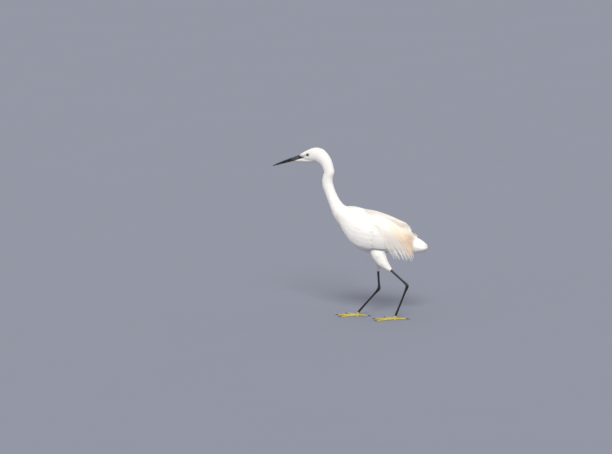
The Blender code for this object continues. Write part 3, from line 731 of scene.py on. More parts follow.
# The chin's feathering runs forward as a wedge under the bill: top z, low z and half width along x
chinRows = [
    (-170.5, 431.4, -170.5, 429.8, 0.7),
    (-165.0, 432.6, -165.0, 428.9, 2.2),
    (-159.0, 434.2, -159.0, 428.0, 4.0),
    (-152.0, 436.6, -152.0, 427.0, 6.1),
    (-145.0, 438.4, -145.0, 426.3, 8.1),
    (-138.0, 440.4, -138.0, 426.3, 10.0),
    (-128.0, 441.0, -128.0, 426.3, 10.2),
    (-116.0, 441.0, -116.0, 426.7, 10.2),
    (-104.0, 440.0, -104.0, 427.8, 9.0),
]
chinSurface = partial(onForm, chinRows)
chinTufts = dict(
    headTufts,
    rows=(0.05, 7.4, 50.0, 310.0),
    gaps=((1.1, 0.0), (1.1, 0.0)),
    length=(2.8, 0.5),
    half=(0.6, 0.04),
    strands=2,
    sunk=0.3,
    lift=0.25,
    ruffle=0.1,
    tuck=0.0,
)
# the chin's warmth is painted shade under the bill
chinLook = {"depth": 0.25, "warmth": 0.45, "reach": (130.0, 70.0, 3.6, 1.6)}


def makeChin():
    look = chinLook
    places = np.linspace(0.0, len(chinRows) - 1.0, 40)[:, None]
    wedge = loftPiece("chinSkin", chinSurface(places, roundTurns(28), -look["depth"]), paleSkin)
    finishPiece(wedge)
    chance = np.random.default_rng(14)
    place, turn = spreadRows(chinSurface, chinTufts, chance)
    keep = np.abs(turn - 180.0) < ramp(look["reach"], place)
    place, turn = place[keep], turn[keep]
    layTufts("chinCoat", chinSurface, chinTufts, place, turn, chance, look["warmth"], None, 8.0)


makeChin()

# Breast, belly, flanks and rump: broad soft feathers of many strands
bodyFeathers = {
    "rows": (15.2, 24.3, 0.0, 360.0),
    "gaps": ((7.0, 0.0), (6.0, 0.0)),
    "length": (2.0, 1.0),
    "longest": 25.0,
    "uneven": 0.12,
    "half": (5.2, 0.0),
    "strands": 7,
    "stops": 5,
    "rootSpread": 0.35,
    "tipSpread": 0.95,
    "rounded": 0.2,
    "stray": 0.06,
    "lift": 0.3,
    "sunk": 4.4,
    "ruffle": 0.35,
    "tuck": 0.4,
    "taper": [0.6, 1.0, 0.85, 0.15],
    "strandWidth": 0.36,
    "thick": 0.22,
}
underWing = {"first": 18.3, "last": 23.6, "low": 75.0, "high": 132.0}  # places and degrees from the belly


def makeBodyCoat():
    chance = np.random.default_rng(13)
    place, turn = spreadRows(bodySurface, bodyFeathers, chance)
    fromBelly = np.abs(turn % 360.0 - 180.0)
    hidden = (place > underWing["first"]) & (place < underWing["last"])
    hidden = hidden & (fromBelly > underWing["low"]) & (fromBelly < underWing["high"])
    place, turn = place[~hidden], turn[~hidden]
    # the breast and belly get the painted front shade too, more faintly
    layTufts("bodyCoat", bodySurface, bodyFeathers, place, turn, chance, paintedFrontShade(turn, 0.25))


makeBodyCoat()

# Thighs: looser small feathers down to the black shins
thighTufts = dict(
    bodyFeathers,
    rows=(0.0, 3.75, 0.0, 360.0),
    gaps=((3.4, 0.0), (3.0, 0.0)),
    length=(14.0, -1.8),
    uneven=0.15,
    half=(3.0, -0.35),
    strands=5,
    sunk=1.4,
    ruffle=0.3,
    stray=0.1,
)
thighWarmth = (0.0, 0.5, 2.4, 1.4)


def makeThighCoats():
    for word, side in sides:
        chance = np.random.default_rng(20 + side)
        surface = partial(onLimb, thighRows[word], side)
        place, turn = spreadRows(surface, thighTufts, chance)
        warmth = ramp(thighWarmth, place)
        layTufts("thighCoat_" + word, surface, thighTufts, place, turn, chance, warmth, None, 4.0)


makeThighCoats()
print("body and thighs feathered")

# The wings: tiers of vanes from the shoulder back. Each tier gives how many rows and how many in a row,
# then for the first and the last vane the root's places and degrees and the tip's, half width and lift.
wingTiers = {
    "primaries": (1, 9, (5.8, 6.0), (62.0, 104.0), (9.1, 8.8), (66.0, 108.0), 5.4, 0.0),
    "secondaries": (1, 14, (4.4, 4.6), (60.0, 121.0), (7.3, 7.3), (58.0, 125.0), 6.0, 0.5),
    "tertials": (1, 6, (4.1, 4.5), (38.0, 58.0), (8.4, 8.0), (44.0, 72.0), 7.0, 1.2),
    "greaterCoverts": (1, 17, (3.0, 3.1), (42.0, 120.0), (5.0, 5.2), (44.0, 127.0), 5.2, 0.7),
    "medianCoverts": (2, 17, (2.0, 2.1), (42.0, 119.0), (3.4, 3.7), (44.0, 125.0), 4.6, 1.0),
}
vaneOutline = ([0.0, 0.12, 0.35, 0.6, 0.8, 0.9, 0.96, 1.0], [0.25, 0.6, 0.92, 1.0, 0.95, 0.8, 0.52, 0.16])
vaneLook = {"stops": 14, "sunk": 1.6, "overlap": 0.1, "stagger": 0.12, "unevenLift": 0.1, "uneven": 0.08}
# The folded wing's upper and lower edge: place and degrees
wingEdges = [
    (0.0, 70.0, 86.0),
    (0.6, 46.0, 112.0),
    (1.5, 38.0, 124.0),
    (3.0, 36.0, 128.0),
    (4.6, 37.0, 125.0),
    (6.0, 40.0, 117.0),
    (7.4, 47.0, 107.0),
    (8.4, 56.0, 98.0),
    (9.0, 64.0, 90.0),
]
fleshLook = {"first": 0.15, "last": 7.6, "inset": 3.0, "depth": 1.2, "thick": (7.6, 0.6, 4.0, 3.4)}
# The mantle's depth under the plumage in front and at the rear, and how far its middle is raised
mantleLook = {
    "last": 8.6,
    "past": 12.0,
    "front": (4.5, 2.0, 0.0, 1.0),
    "rear": (0.0, 8.0, 7.7, 0.9),
    "raised": (0.0, 4.5, 4.6, 2.2),
    "middle": 32.0,
    "thick": 2.5,
}
lesserCoverts = dict(
    bodyFeathers,
    rows=(0.0, 2.9, 130.0, 36.0),
    gaps=((4.4, 0.0), (4.0, 0.0)),
    length=(11.0, 2.4),
    uneven=0.1,
    half=(2.9, 0.35),
    strands=6,
    sunk=2.0,
    ruffle=0.25,
    tuck=0.7,
    strandWidth=0.42,
)
scapulars = dict(
    bodyFeathers,
    rows=(0.05, 4.6, -46.0, 46.0),
    gaps=((6.5, 0.0), (5.5, 0.0)),
    length=(18.0, 6.0),
    longest=math.inf,
    uneven=0.1,
    half=(3.6, 0.4),
    strands=9,
    stops=7,
    sunk=3.4,
    ruffle=0.4,
    tuck=1.2,
    rounded=0.35,
    strandWidth=0.32,
)


tuftLifts = {"lesserCoverts": (0.3, 1.4, 0.0, 1.2), "scapulars": (0.2, 2.2, 0.0, 1.6)}


def wingEdge(place):
    edges = np.asarray(wingEdges)
    return [np.interp(place, edges[:, 0], edges[:, column]) for column in (1, 2)]


def layVanes(name, surface, roots, tips, half, lift, chance, placeCount, slope, tuck=0.0, hug=0.01):
    # roots and tips are places and degrees; slope tilts each vane so that it overlaps the next,
    # tuck lowers its tip and hug bends its edges round the form
    part = 1.0 - (1.0 - np.linspace(0.0, 1.0, vaneLook["stops"])) ** 1.6
    sunk = vaneLook["sunk"]
    lifts = (lift[:, None] + sunk) * smoothStep(part / 0.5) - sunk - tuck * part**4
    spine, across, up = layAlong(
        surface, fromTo(roots[0], tips[0], part), fromTo(roots[1], tips[1], part), lifts
    )
    lie = (spine, unit(across + slope * up), unit(up - slope * across))
    wide = half[:, None] * np.interp(part, *vaneOutline)
    patches = formPatches(roots[0], roots[1], placeCount)
    section = dict(vaneSection, hug=hug)
    vanes = sweepMany(name, lie, wide, section, patches, np.zeros(len(half)), chance, whiteFeathers)
    finishPiece(vanes)


def slabRing(place, turns, deep, thick):
    # one cut of a slab under the wing's surface
    outer, under = (wingSurface(place, turns, -down) for down in (deep, deep + thick))
    return np.concatenate([outer, under[::-1]])


def makeWingFlesh(word, side):
    look = fleshLook
    rings = []
    for place in np.linspace(look["first"], look["last"], 28):
        high, low = wingEdge(place)
        turns = side * np.linspace(high + look["inset"], low - look["inset"], 12)
        rings.append(slabRing(place, turns, look["depth"], ramp(look["thick"], place)))
    wing = loftPiece("wingFlesh_" + word, rings, whiteFeathers)
    finishPiece(wing, ["wing_" + word])


def makeMantle():
    # a saddle of plumage that closes the back between the wings
    look = mantleLook
    rings = []
    for place in np.linspace(0.0, look["last"], 40):
        high = wingEdge(place)[0] + look["past"]
        turns = np.linspace(-high, high, 30)
        raised = ramp(look["raised"], place) * swell(turns, 0.0, look["middle"])
        deep = ramp(look["front"], place) + ramp(look["rear"], place) - raised
        rings.append(slabRing(place, turns, deep, look["thick"]))
    finishPiece(loftPiece("mantle", rings, whiteFeathers))


def makeWingTiers(word, side, chance):
    look = vaneLook
    for tier, values in wingTiers.items():
        rowCount, inRow, rootPlaces, rootTurns, tipPlaces, tipTurns, half, lift = values
        steps = [np.arange(inRow) + 0.5 * (row % 2) for row in range(rowCount)]
        share = np.concatenate(steps) / (inRow - 0.5)
        move = np.repeat(0.5 * np.arange(rowCount), inRow)
        stagger = chance.uniform(-look["stagger"], look["stagger"], len(share))
        roots = (between(*rootPlaces, share) + move, side * between(*rootTurns, share))
        tips = (between(*tipPlaces, share) + move + stagger, side * between(*tipTurns, share))
        wide = half * chance.uniform(1.0 - look["uneven"], 1.0 + look["uneven"], len(share))
        lifts = lift + chance.uniform(-1.0, 1.0, len(share)) * look["unevenLift"]
        slope = -side * look["overlap"]
        layVanes(f"{tier}_{word}", wingSurface, roots, tips, wide, lifts, chance, wingPlaces, slope)


def makeWings():
    makeMantle()
    for word, side in sides:
        chance = np.random.default_rng(30 + side)
        makeWingFlesh(word, side)
        makeWingTiers(word, side, chance)
        place, turn = spreadRows(wingSurface, lesserCoverts, chance, side)
        high, low = wingEdge(place)
        keep = (np.abs(turn) > high) & (np.abs(turn) < low)
        place, turn = place[keep], turn[keep]
        look = dict(lesserCoverts, lift=ramp(tuftLifts["lesserCoverts"], place))
        layTufts("lesserCoverts_" + word, wingSurface, look, place, turn, chance, 0.0, None, wingPlaces)
    chance = np.random.default_rng(33)
    place, turn = spreadRows(wingSurface, scapulars, chance)
    look = dict(scapulars, lift=ramp(tuftLifts["scapulars"], place))
    layTufts("scapulars", wingSurface, look, place, turn, chance, 0.0, None, wingPlaces)


makeWings()
print("wings made")

# Long cream plumes: sheaves of filaments that run along the back, turn down over the folded wings
# and hang past their lower edge. Pairs are for the first and the last sheaf. Reach is how far round the
# sheaves come, with an even change along the row and one at its end.
sidePlumes = {
    "count": 34,
    "rootPlace": (1.4, 4.6),
    "rootTurn": (31.0, 14.0),
    "tip": 7.15,
    "lastTip": {"left": 9.6, "right": 8.3},
    "reach": (158.0, 16.0, -122.0),
    "bend": (4.6, 2.6),
    "lift": (1.6, 5.0),
    "unevenTip": 0.12,
    "unevenReach": 7.0,
    "cream": (0.06, 0.96, 0.3, 0.35),
    "lastCream": (0.0, -0.5, 0.93, 0.07),
}
# The back's plumes fan out from the middle. Pairs are for the middle and for both edges.
backPlumes = {
    "count": 22,
    "root": (2.4, 2.9),
    "spread": 20.0,
    "tip": (7.95, 8.4),
    "tipSpread": 30.0,
    "unevenTip": 0.1,
    "lift": (6.0, 2.1),
    "curl": (7.0, 1.4),
    "warmth": 0.16,
}
plumeLook = {
    "strands": 32,
    "stops": 15,
    "rootWidth": 2.2,
    "width": 9.0,
    "strandHalf": 0.42,
    "thick": 0.2,
    "taper": ([0.0, 0.2, 0.6, 0.85, 1.0], [0.8, 1.0, 0.85, 0.5, 0.1]),
    "uneven": 0.3,
    "reach": (1.01, 0.97, 0.11),  # in the middle of a sheaf, at its edges, and how ragged
    "height": (-1.4, 0.5),
    "wave": 0.4,
    "creamFrom": 0.3,
    "paleTips": (1.0, 0.55, 0.93, 0.1),
}


def layPlumes(name, roots, tips, bend, lift, curl, warmth, chance):
    look = plumeLook
    strands, stops = look["strands"], look["stops"]
    count = len(roots[0])
    scatter = (count, strands)
    fan = np.linspace(-1.0, 1.0, strands) + chance.uniform(-look["uneven"], look["uneven"], scatter)
    inner, outer, ragged = look["reach"]
    reach = between(inner, outer, fan**2) - ragged * chance.random(scatter) ** 1.3
    along = 1.0 - (1.0 - np.linspace(0.0, 1.0, stops)) ** 1.5
    part = along * reach[..., None]
    perMm = turnsPerMm(wingSurface, *roots)[:, None, None]
    start = roots[0][:, None] + chance.uniform(0.0, 1.0, scatter)
    place = between(start[..., None], tips[0][:, None, None], part)
    aside = between(look["rootWidth"], look["width"], part**2) * fan[..., None] * perMm
    turn = between(roots[1][:, None, None], tips[1][:, None, None], part ** bend[:, None, None]) + aside
    height = lift[:, None] + chance.uniform(*look["height"], scatter)
    wave = chance.uniform(-look["wave"], look["wave"], scatter)[..., None] * np.sin(part * 6.0)
    curled = curl[:, None] * chance.uniform(0.1, 1.0, scatter)
    lifts = height[..., None] * smoothStep(part / 0.3) + curled[..., None] * part**3 + wave
    lines = [values.reshape(count * strands, stops) for values in (place, turn, lifts)]
    lie = layAlong(drapedSurface, *lines)
    wide = np.full((count * strands, 1), look["strandHalf"]) * np.interp(along, *look["taper"])
    patches = np.repeat(formPatches(*roots, wingPlaces), strands, 0)
    cream = smoothStep((part - look["creamFrom"]) / 0.5) * ramp(look["paleTips"], part)
    warm = warmth[:, None, None] * cream
    warm = (warm * chance.uniform(0.75, 1.05, scatter)[..., None]).reshape(count * strands, stops)
    section = dict(strandSection, thick=look["thick"])
    return sweepMany(name, lie, wide, section, patches, warm, chance, creamFeathers)


def makeSidePlumes(word, side):
    size = sidePlumes
    chance = np.random.default_rng(40 + side)
    share = np.linspace(0.0, 1.0, size["count"])
    roots = (between(*size["rootPlace"], share), side * between(*size["rootTurn"], share))
    start, slow, late = size["reach"]
    uneven = size["unevenReach"]
    reach = start + slow * share + late * share**5 + chance.uniform(-uneven, uneven, len(share))
    tip = between(size["tip"], size["lastTip"][word], 1.0 - (1.0 - share) ** 1.6)
    tip = tip + chance.uniform(-size["unevenTip"], size["unevenTip"], len(share))
    warmth = ramp(size["cream"], share) + ramp(size["lastCream"], share)
    bend = between(*size["bend"], share**2)
    lift = between(*size["lift"], share)
    tips = (tip, side * reach)
    plumes = layPlumes("sidePlumes_" + word, roots, tips, bend, lift, 0.0 * share, warmth, chance)
    finishPiece(plumes, ["back_plumes"] if side == left else [])


def makeBackPlumes():
    size = backPlumes
    chance = np.random.default_rng(43)
    share = np.linspace(-1.0, 1.0, size["count"])
    aside = np.abs(share)
    roots = (between(*size["root"], aside), size["spread"] * share)
    tip = between(*size["tip"], aside) + chance.uniform(-size["unevenTip"], size["unevenTip"], len(share))
    tips = (tip, size["tipSpread"] * share)
    even = np.ones(len(share))
    lift = between(*size["lift"], share**2)
    curl = between(*size["curl"], aside)
    plumes = layPlumes("backPlumes", roots, tips, even, lift, curl, size["warmth"] * even, chance)
    finishPiece(plumes)


for word, side in sides:
    makeSidePlumes(word, side)
makeBackPlumes()
print("plumes made")

# The plumes that hang from the foot of the neck over the breast
breastPlumes = dict(
    bodyFeathers,
    half=(3.6, 0.0),
    strands=9,
    stops=8,
    stray=0.03,
    lift=1.4,
    sunk=1.8,
    ruffle=0.5,
    tipSpread=0.6,
    rounded=0.3,
    strandWidth=0.3,
    tuck=-0.5,
)
breastSpread = {"count": 34, "root": 14.9, "tip": (17.4, 17.05), "degrees": 66.0}


def makeBreastPlumes():
    chance = np.random.default_rng(50)
    size = breastSpread
    share = np.linspace(-1.0, 1.0, size["count"])
    place = size["root"] + chance.uniform(-0.4, 0.5, len(share))
    turn = 180.0 + size["degrees"] * share
    tip = between(*size["tip"], np.abs(share))
    length = (tip - place) / placesPerMm(bodySurface, place, turn)
    # painted shade, warmer on the front of the breast plumes
    warmth = paintedFrontShade(turn, 0.3)
    layTufts("breastPlumes", bodySurface, breastPlumes, place, turn, chance, warmth, length)


makeBreastPlumes()

# The tail: overlapping vanes between the upper and the lower coverts, and the rump's last feathers
tailLook = {
    "vanes": 12,
    "half": 4.2,
    "root": 1.6,
    "fan": 84.0,
    "short": (0.25, 0.55),  # by how many places the middle and the outer vanes end early
    "lift": (1.8, 1.3),
    "overlap": 0.14,
    "depth": 1.2,
}
tailCoverts = dict(
    bodyFeathers,
    rows=(0.8, 3.9, -92.0, 92.0),
    gaps=((4.6, 0.0), (4.4, 0.0)),
    half=(4.2, 0.0),
    stops=6,
    sunk=3.0,
    lift=1.0,
    ruffle=0.3,
    tuck=0.6,
)
underTail = dict(
    bodyFeathers,
    rows=(0.3, 5.0, 78.0, 282.0),
    gaps=((4.2, 0.0), (4.2, 0.0)),
    half=(4.4, 0.0),
    strands=8,
    stops=6,
    sunk=2.4,
    lift=0.6,
    ruffle=0.3,
    tuck=0.9,
    strandWidth=0.34,
)
rumpFeathers = dict(
    bodyFeathers,
    rows=(4.8, 8.1, -84.0, 84.0),
    gaps=((5.0, 0.0), (4.6, 0.0)),
    half=(5.0, 0.0),
    strands=9,
    stops=6,
    sunk=3.4,
    ruffle=0.9,
    tipSpread=1.4,
    strandWidth=0.32,
)
tailLengths = {"tailCoverts": (15.0, 20.0), "underTail": (14.0, 19.0), "rumpCoat": (18.0, 24.0)}
rumpLook = {
    "last": 8.9,
    "low": 0.6,
    "raised": (0.0, 5.4, 5.0, 2.2),
    "middle": 27.0,
    "tuck": 0.8,
    "rear": (0.0, 1.0, 6.8, 1.1),
    "rearTuck": (4.0, 16.5),  # at the sides and along the middle
}


def toEnd(surface, place, turn, length, lastPlace):
    # lengths cut so that no tuft runs past the last place
    return np.minimum(length, (lastPlace - place) / placesPerMm(surface, place, turn))


def makeTailVanes(last, chance):
    size = tailLook
    part = 2.0 * (np.arange(size["vanes"]) + 0.5) / size["vanes"] - 1.0
    end = last - between(*size["short"], part**2) + chance.uniform(-0.05, 0.05, len(part))
    lift = between(*size["lift"], np.abs(part))
    half = size["half"] * chance.uniform(0.95, 1.05, len(part))
    roots = (np.full(len(part), size["root"]), part * size["fan"])
    slope = -size["overlap"] * np.sign(part)[:, None, None]
    layVanes("tailVanes", tailSurface, roots, (end, roots[1]), half, lift, chance, last, slope, 1.2, 0.03)


def makeTail(chance):
    last = len(tailRows) - 1.0
    places = np.linspace(0.0, last, 44)[:, None]
    core = loftPiece("tailCore", tailSurface(places, roundTurns(48), -tailLook["depth"]), whiteFeathers)
    finishPiece(core, ["tail"])
    makeTailVanes(last, chance)
    ends = {"tailCoverts": math.inf, "underTail": last - 0.35}
    for name, look, warmth in (("tailCoverts", tailCoverts, 0.1), ("underTail", underTail, 0.2)):
        place, turn = spreadRows(tailSurface, look, chance)
        length = chance.uniform(*tailLengths[name], len(place))
        length = toEnd(tailSurface, place, turn, length, ends[name])
        layTufts(name, tailSurface, look, place, turn, chance, warmth, length, last)


def makeRumpCoat(chance):
    # raised along the middle, and tucked down at its rear edge
    size = rumpLook
    place, turn = spreadRows(wingSurface, rumpFeathers, chance)
    length = chance.uniform(*tailLengths["rumpCoat"], len(place))
    length = toEnd(wingSurface, place, turn, length, size["last"])
    middle = smoothStep((90.0 - np.abs(turn)) / 60.0)
    tuck = size["tuck"] + between(*size["rearTuck"], middle) * ramp(size["rear"], place)
    lift = size["low"] + ramp(size["raised"], place) * swell(turn, 0.0, size["middle"])
    look = dict(rumpFeathers, lift=lift, tuck=tuck)
    layTufts("rumpCoat", wingSurface, look, place, turn, chance, 0.1, length, wingPlaces)


tailChance = np.random.default_rng(60)
makeTail(tailChance)
makeRumpCoat(tailChance)
print("tail made")

# The bill is slate grey in a patch near its base, partly its own colour and partly a painted highlight
slateAndHighlightPatch = {"front": -182.0, "full": -166.0, "rear": -147.0, "fade": 8.0, "colour": (0.1, 0.11, 0.12)}


def slateAndHighlightMask(cloud):
    # where the paler slate and its painted highlight lie along the bill
    x = positionParts(cloud.id_data)[0]
    front, full, rear = (slateAndHighlightPatch[word] * mm + alongShift for word in ("front", "full", "rear"))
    rise = mapRange(x, front, full, 0.0, 1.0, True)
    fall = mapRange(x, rear - slateAndHighlightPatch["fade"] * mm, rear, 1.0, 0.0, True)
    uneven = mapRange(cloud, 0.35, 0.65, 0.25, 1.0)
    return math2("MULTIPLY", math2("MULTIPLY", rise, fall), uneven)


def hornFinish(name, base, pale, roughness, withSlateAndHighlight=False):
    sheen = {"Coat_Weight": 0.05, "Coat_Roughness": 0.3, "Specular_IOR_Level": 0.35}
    made, tree, shader = newFinish(name, roughness, **sheen)
    cloud = positionNoise(tree, 140.0, 5.0)
    streak = positionNoise(tree, 600.0, 2.0)
    colour = mixColours(cloud, base, pale)
    # mixes in the slate patch with its painted highlight
    if withSlateAndHighlight:
        colour = mixColours(slateAndHighlightMask(cloud), colour, slateAndHighlightPatch["colour"])
    feed(shader.inputs["Base Color"], colour)
    feed(shader.inputs["Roughness"], mapRange(streak, 0.3, 0.7, roughness - 0.08, roughness + 0.12))
    addBump(shader, streak, 0.00015, 0.5)
    return made


blackHorn = hornFinish("blackHorn", (0.006, 0.006, 0.007), (0.018, 0.019, 0.022), 0.4, True)
darkClaw = hornFinish("darkClaw", (0.02, 0.018, 0.016), (0.06, 0.05, 0.04), 0.35)

# The bill, from the corner of the mouth to the tip: x, mouth line z, half width, upper and lower depth
billRows = [
    (-131.8, 442.0, 12.0, 0.9, 0.8),
    (-139.5, 441.1, 10.4, 2.3, 2.2),
    (-146.5, 440.2, 7.6, 4.1, 3.6),
    (-151.2, 439.4, 5.7, 6.5, 5.4),
    (-160.0, 437.4, 4.6, 6.0, 5.0),
    (-172.0, 434.4, 3.9, 5.2, 4.5),
    (-190.0, 429.5, 3.1, 4.2, 3.9),
    (-208.0, 424.5, 2.3, 3.1, 3.0),
    (-224.0, 419.8, 1.4, 1.8, 1.9),
    (-236.0, 416.4, 0.45, 0.6, 0.7),
]
billLook = {"slope": 0.27, "gap": 0.12, "rings": 96, "arc": 22, "flank": 0.8, "keel": 0.95}
billGroove = {"deep": 0.55, "at": 4.7, "long": 1.1, "turn": 0.8, "wide": 0.17, "lower": 0.35}
nostril = {"along": -164.4, "high": 439.6, "out": 3.8, "half": (3.4, 0.35, 0.5), "tilt": 15.0}
nostrilShadeColours = ((0.002, 0.002, 0.002), (0.008, 0.008, 0.008))


def makeBill():
    look, cut = billLook, billGroove
    turns = np.linspace(0.0, math.pi, look["arc"])
    flank = np.sign(np.cos(turns)) * np.abs(np.cos(turns)) ** look["flank"]
    keel = np.sin(turns) ** look["keel"]
    channel = swell(turns, cut["turn"], cut["wide"]) - swell(turns, math.pi - cut["turn"], cut["wide"])
    for word, sign in (("upper", 1), ("lower", -1)):
        rings = []
        for place in np.linspace(0.0, len(billRows) - 1.0, look["rings"]):
            x, z, half, above, below = curveThrough(billRows, place)
            lift = look["gap"] + (above if sign > 0 else below) * keel
            groove = cut["deep"] * swell(place, cut["at"], cut["long"])
            wide = half * flank - groove * channel * (1.0 if sign > 0 else cut["lower"])
            rings.append(np.stack([x - look["slope"] * sign * lift, wide, z + sign * lift], -1))
        piece = loftPiece("billHorn_" + word, np.asarray(rings) * mm + shiftBy, blackHorn, 50.0)
        finishPiece(piece, ["bill_" + word])


def makeNostrils():
    # slits in the flank of the upper bill, coloured near black as painted shade in the openings
    dark = grainFinish("nostrilShade", 0.7, 900.0, *nostrilShadeColours, 0.0001, 0.4)
    tilt = math.radians(nostril["tilt"])
    long, wide, high = nostril["half"]
    ring = roundTurns(16, tau)
    for word, side in sides:
        rings = []
        for part in np.linspace(-0.98, 0.98, 15):
            along, round = long * part, math.sqrt(1.0 - part * part)
            x = nostril["along"] + along * math.cos(tilt)
            y = side * (nostril["out"] - 0.04 * along) + wide * round * np.cos(ring)
            z = nostril["high"] + along * math.sin(tilt) + high * round * np.sin(ring)
            rings.append(np.stack(asArrays(x, y, z), -1))
        slit = loftPiece("nostril_" + word, np.asarray(rings) * mm + shiftBy, dark)
        finishPiece(slit)


makeBill()
makeNostrils()
print("bill made")

# The eye from the middle of the pupil out to its dark edge
eyeStops = [
    (0.0, (0.003, 0.003, 0.003)),
    (0.41, (0.003, 0.003, 0.003)),
    (0.45, (0.2, 0.19, 0.07)),
    (0.54, (0.33, 0.315, 0.13)),
    (0.64, (0.14, 0.13, 0.04)),
    (0.7, (0.012, 0.012, 0.01)),
]


def eyeFinish():
    made, tree, shader = newFinish("eyeball", 0.05, Coat_Weight=1.0, Coat_Roughness=0.02)
    fleck = math2("MULTIPLY", positionNoise(tree, 1500.0), 0.03)
    ramp = addNode(tree, "ShaderNodeValToRGB")
    for element, (place, colour) in zip(ramp.color_ramp.elements, eyeStops):
        element.position = place
        element.color = (*colour, 1.0)
    for place, colour in eyeStops[2:]:
        ramp.color_ramp.elements.new(place).color = (*colour, 1.0)
    feed(ramp.inputs["Fac"], math2("ADD", attribute(tree, "fromPupil"), fleck))
    feed(shader.inputs["Base Color"], ramp.outputs["Color"])
    return made


def makeEyes():
    finish = eyeFinish()
    for word, side in sides:
        centre = Vector((eye["along"] * mm + alongShift, side * eye["out"] * mm, eye["high"] * mm))
        build = bmesh.new()
        bmesh.ops.create_uvsphere(build, u_segments=64, v_segments=48, radius=eye["radius"] * mm)
        mesh = bpy.data.meshes.new("eyeball_" + word)
        build.to_mesh(mesh)
        build.free()
        ball = placePiece("eyeball_" + word, mesh, finish)
        aim = Vector((-0.1, side, 0.03)).normalized()
        values = [vert.co.normalized().angle(aim) / eye["iris"] for vert in mesh.vertices]
        mesh.attributes.new("fromPupil", "FLOAT", "POINT").data.foreach_set("value", values)
        for vert in mesh.vertices:
            vert.co += centre
        mesh.shade_smooth()
        finishPiece(ball, ["eye_" + word])


lidLook = {"long": 4.85, "high": 4.45, "out": 11.5, "thick": 0.8, "proud": 0.75, "folds": 9, "fold": 0.08}


def makeLids():
    finish = grainFinish("lidSkin", 0.55, 700.0, (0.3, 0.31, 0.26), (0.5, 0.5, 0.43), 0.0003, 0.6)
    around, tube = 56, 12
    turn, bulge = roundTurns(around, tau)[:, None], roundTurns(tube, tau)
    reach = 1.0 + lidLook["thick"] * np.cos(bulge) / lidLook["long"]
    fold = 1.0 + lidLook["fold"] * np.sin(lidLook["folds"] * turn)
    out = lidLook["out"] + lidLook["proud"] * lidLook["thick"] * fold * np.sin(bulge)
    x = eye["along"] + lidLook["long"] * reach * np.cos(turn)
    z = eye["high"] + lidLook["high"] * reach * np.sin(turn)
    total = around * tube
    faces = [tuple(corner % total for corner in face) for face in gridFaces(around + 1, tube)]
    for word, side in sides:
        points = np.stack(asArrays(x, side * out, z), -1) * mm + shiftBy
        lid = newPiece("lid_" + word, points, faces, finish)
        turnOutwards(lid)
        finishPiece(smooth(lid))


makeEyes()
makeLids()
print("eyes made")

# The bare legs: x, how far out, z, half depth fore and aft, half width
lowerLegRows = {
    "left": [
        (106.8, 22.0, 135.7, 3.0, 2.8),
        (117.0, 22.0, 126.5, 2.9, 2.7),
        (138.0, 21.5, 107.5, 2.9, 2.7),
        (147.5, 21.3, 99.0, 3.8, 3.6),
        (150.8, 21.2, 93.0, 4.4, 4.0),
        (148.0, 21.2, 85.5, 3.9, 3.6),
        (141.5, 21.1, 73.0, 2.8, 2.6),
        (125.0, 20.6, 41.0, 2.6, 2.4),
        (112.0, 20.2, 16.5, 2.9, 2.8),
        (109.2, 20.0, 10.0, 3.4, 3.4),
    ],
    "right": [
        (47.5, 20.0, 124.7, 3.0, 2.8),
        (47.2, 20.0, 115.0, 2.9, 2.7),
        (46.8, 20.0, 93.0, 2.9, 2.7),
        (46.8, 20.0, 83.0, 3.7, 3.6),
        (45.6, 20.0, 76.5, 4.4, 4.0),
        (41.0, 20.0, 71.0, 3.9, 3.6),
        (30.0, 20.0, 60.5, 2.8, 2.6),
        (5.0, 20.0, 36.5, 2.6, 2.4),
        (-16.5, 20.0, 15.5, 2.9, 2.8),
        (-21.0, 20.0, 10.0, 3.4, 3.4),
    ],
}
# Both parts of the leg: first and last place, rings, and how deep the scutes are
legParts = {"shin": (-0.02, 4.0, 90, 0.06), "shank": (4.0, 8.98, 200, 0.14)}
scuteEvery = 2.2


def scaledSkin(name, base, pale, roughness):
    made, tree, shader = newFinish(name, roughness, Coat_Weight=0.08, Coat_Roughness=0.4)
    cells = addNode(tree, "ShaderNodeTexVoronoi", feature="DISTANCE_TO_EDGE")
    feed(cells.inputs["Scale"], 620.0)
    feed(cells.inputs["Vector"], position(tree))
    plate = mapRange(cells.outputs["Distance"], 0.0, 0.18, 0.0, 1.0, True)
    cloud = positionNoise(tree, 120.0, 4.0)
    dark = tuple(0.55 * value for value in base)
    feed(shader.inputs["Base Color"], mixColours(plate, dark, mixColours(cloud, base, pale)))
    feed(shader.inputs["Roughness"], mapRange(cloud, 0.3, 0.7, roughness - 0.08, roughness + 0.1))
    addBump(shader, plate, 0.0002, 0.6)
    return made


blackLegSkin = scaledSkin("blackLegSkin", (0.011, 0.011, 0.011), (0.03, 0.03, 0.029), 0.42)
yellowSkin = scaledSkin("yellowFootSkin", (0.58, 0.47, 0.06), (0.7, 0.6, 0.15), 0.5)


def makeLegs():
    turns = roundTurns(28)
    inFront = smoothStep((np.cos(np.radians(turns)) - 0.1) / 0.4)
    for word, side in sides:
        rows = lowerLegRows[word]
        for node, (first, last, rings, depth) in legParts.items():
            places = np.linspace(first, last, rings)[:, None]
            length = lengthAlong(onLimb(rows, side, places, 0.0, 0.0)[:, 0])
            ridge = np.abs(np.sin(np.pi * length / scuteEvery)) ** 0.5
            ripple = depth * ridge[:, None] * inFront
            piece = loftPiece(f"{node}Skin_{word}", onLimb(rows, side, places, turns, ripple), blackLegSkin)
            finishPiece(piece, [f"{node}_{word}"])


makeLegs()
print("legs made")

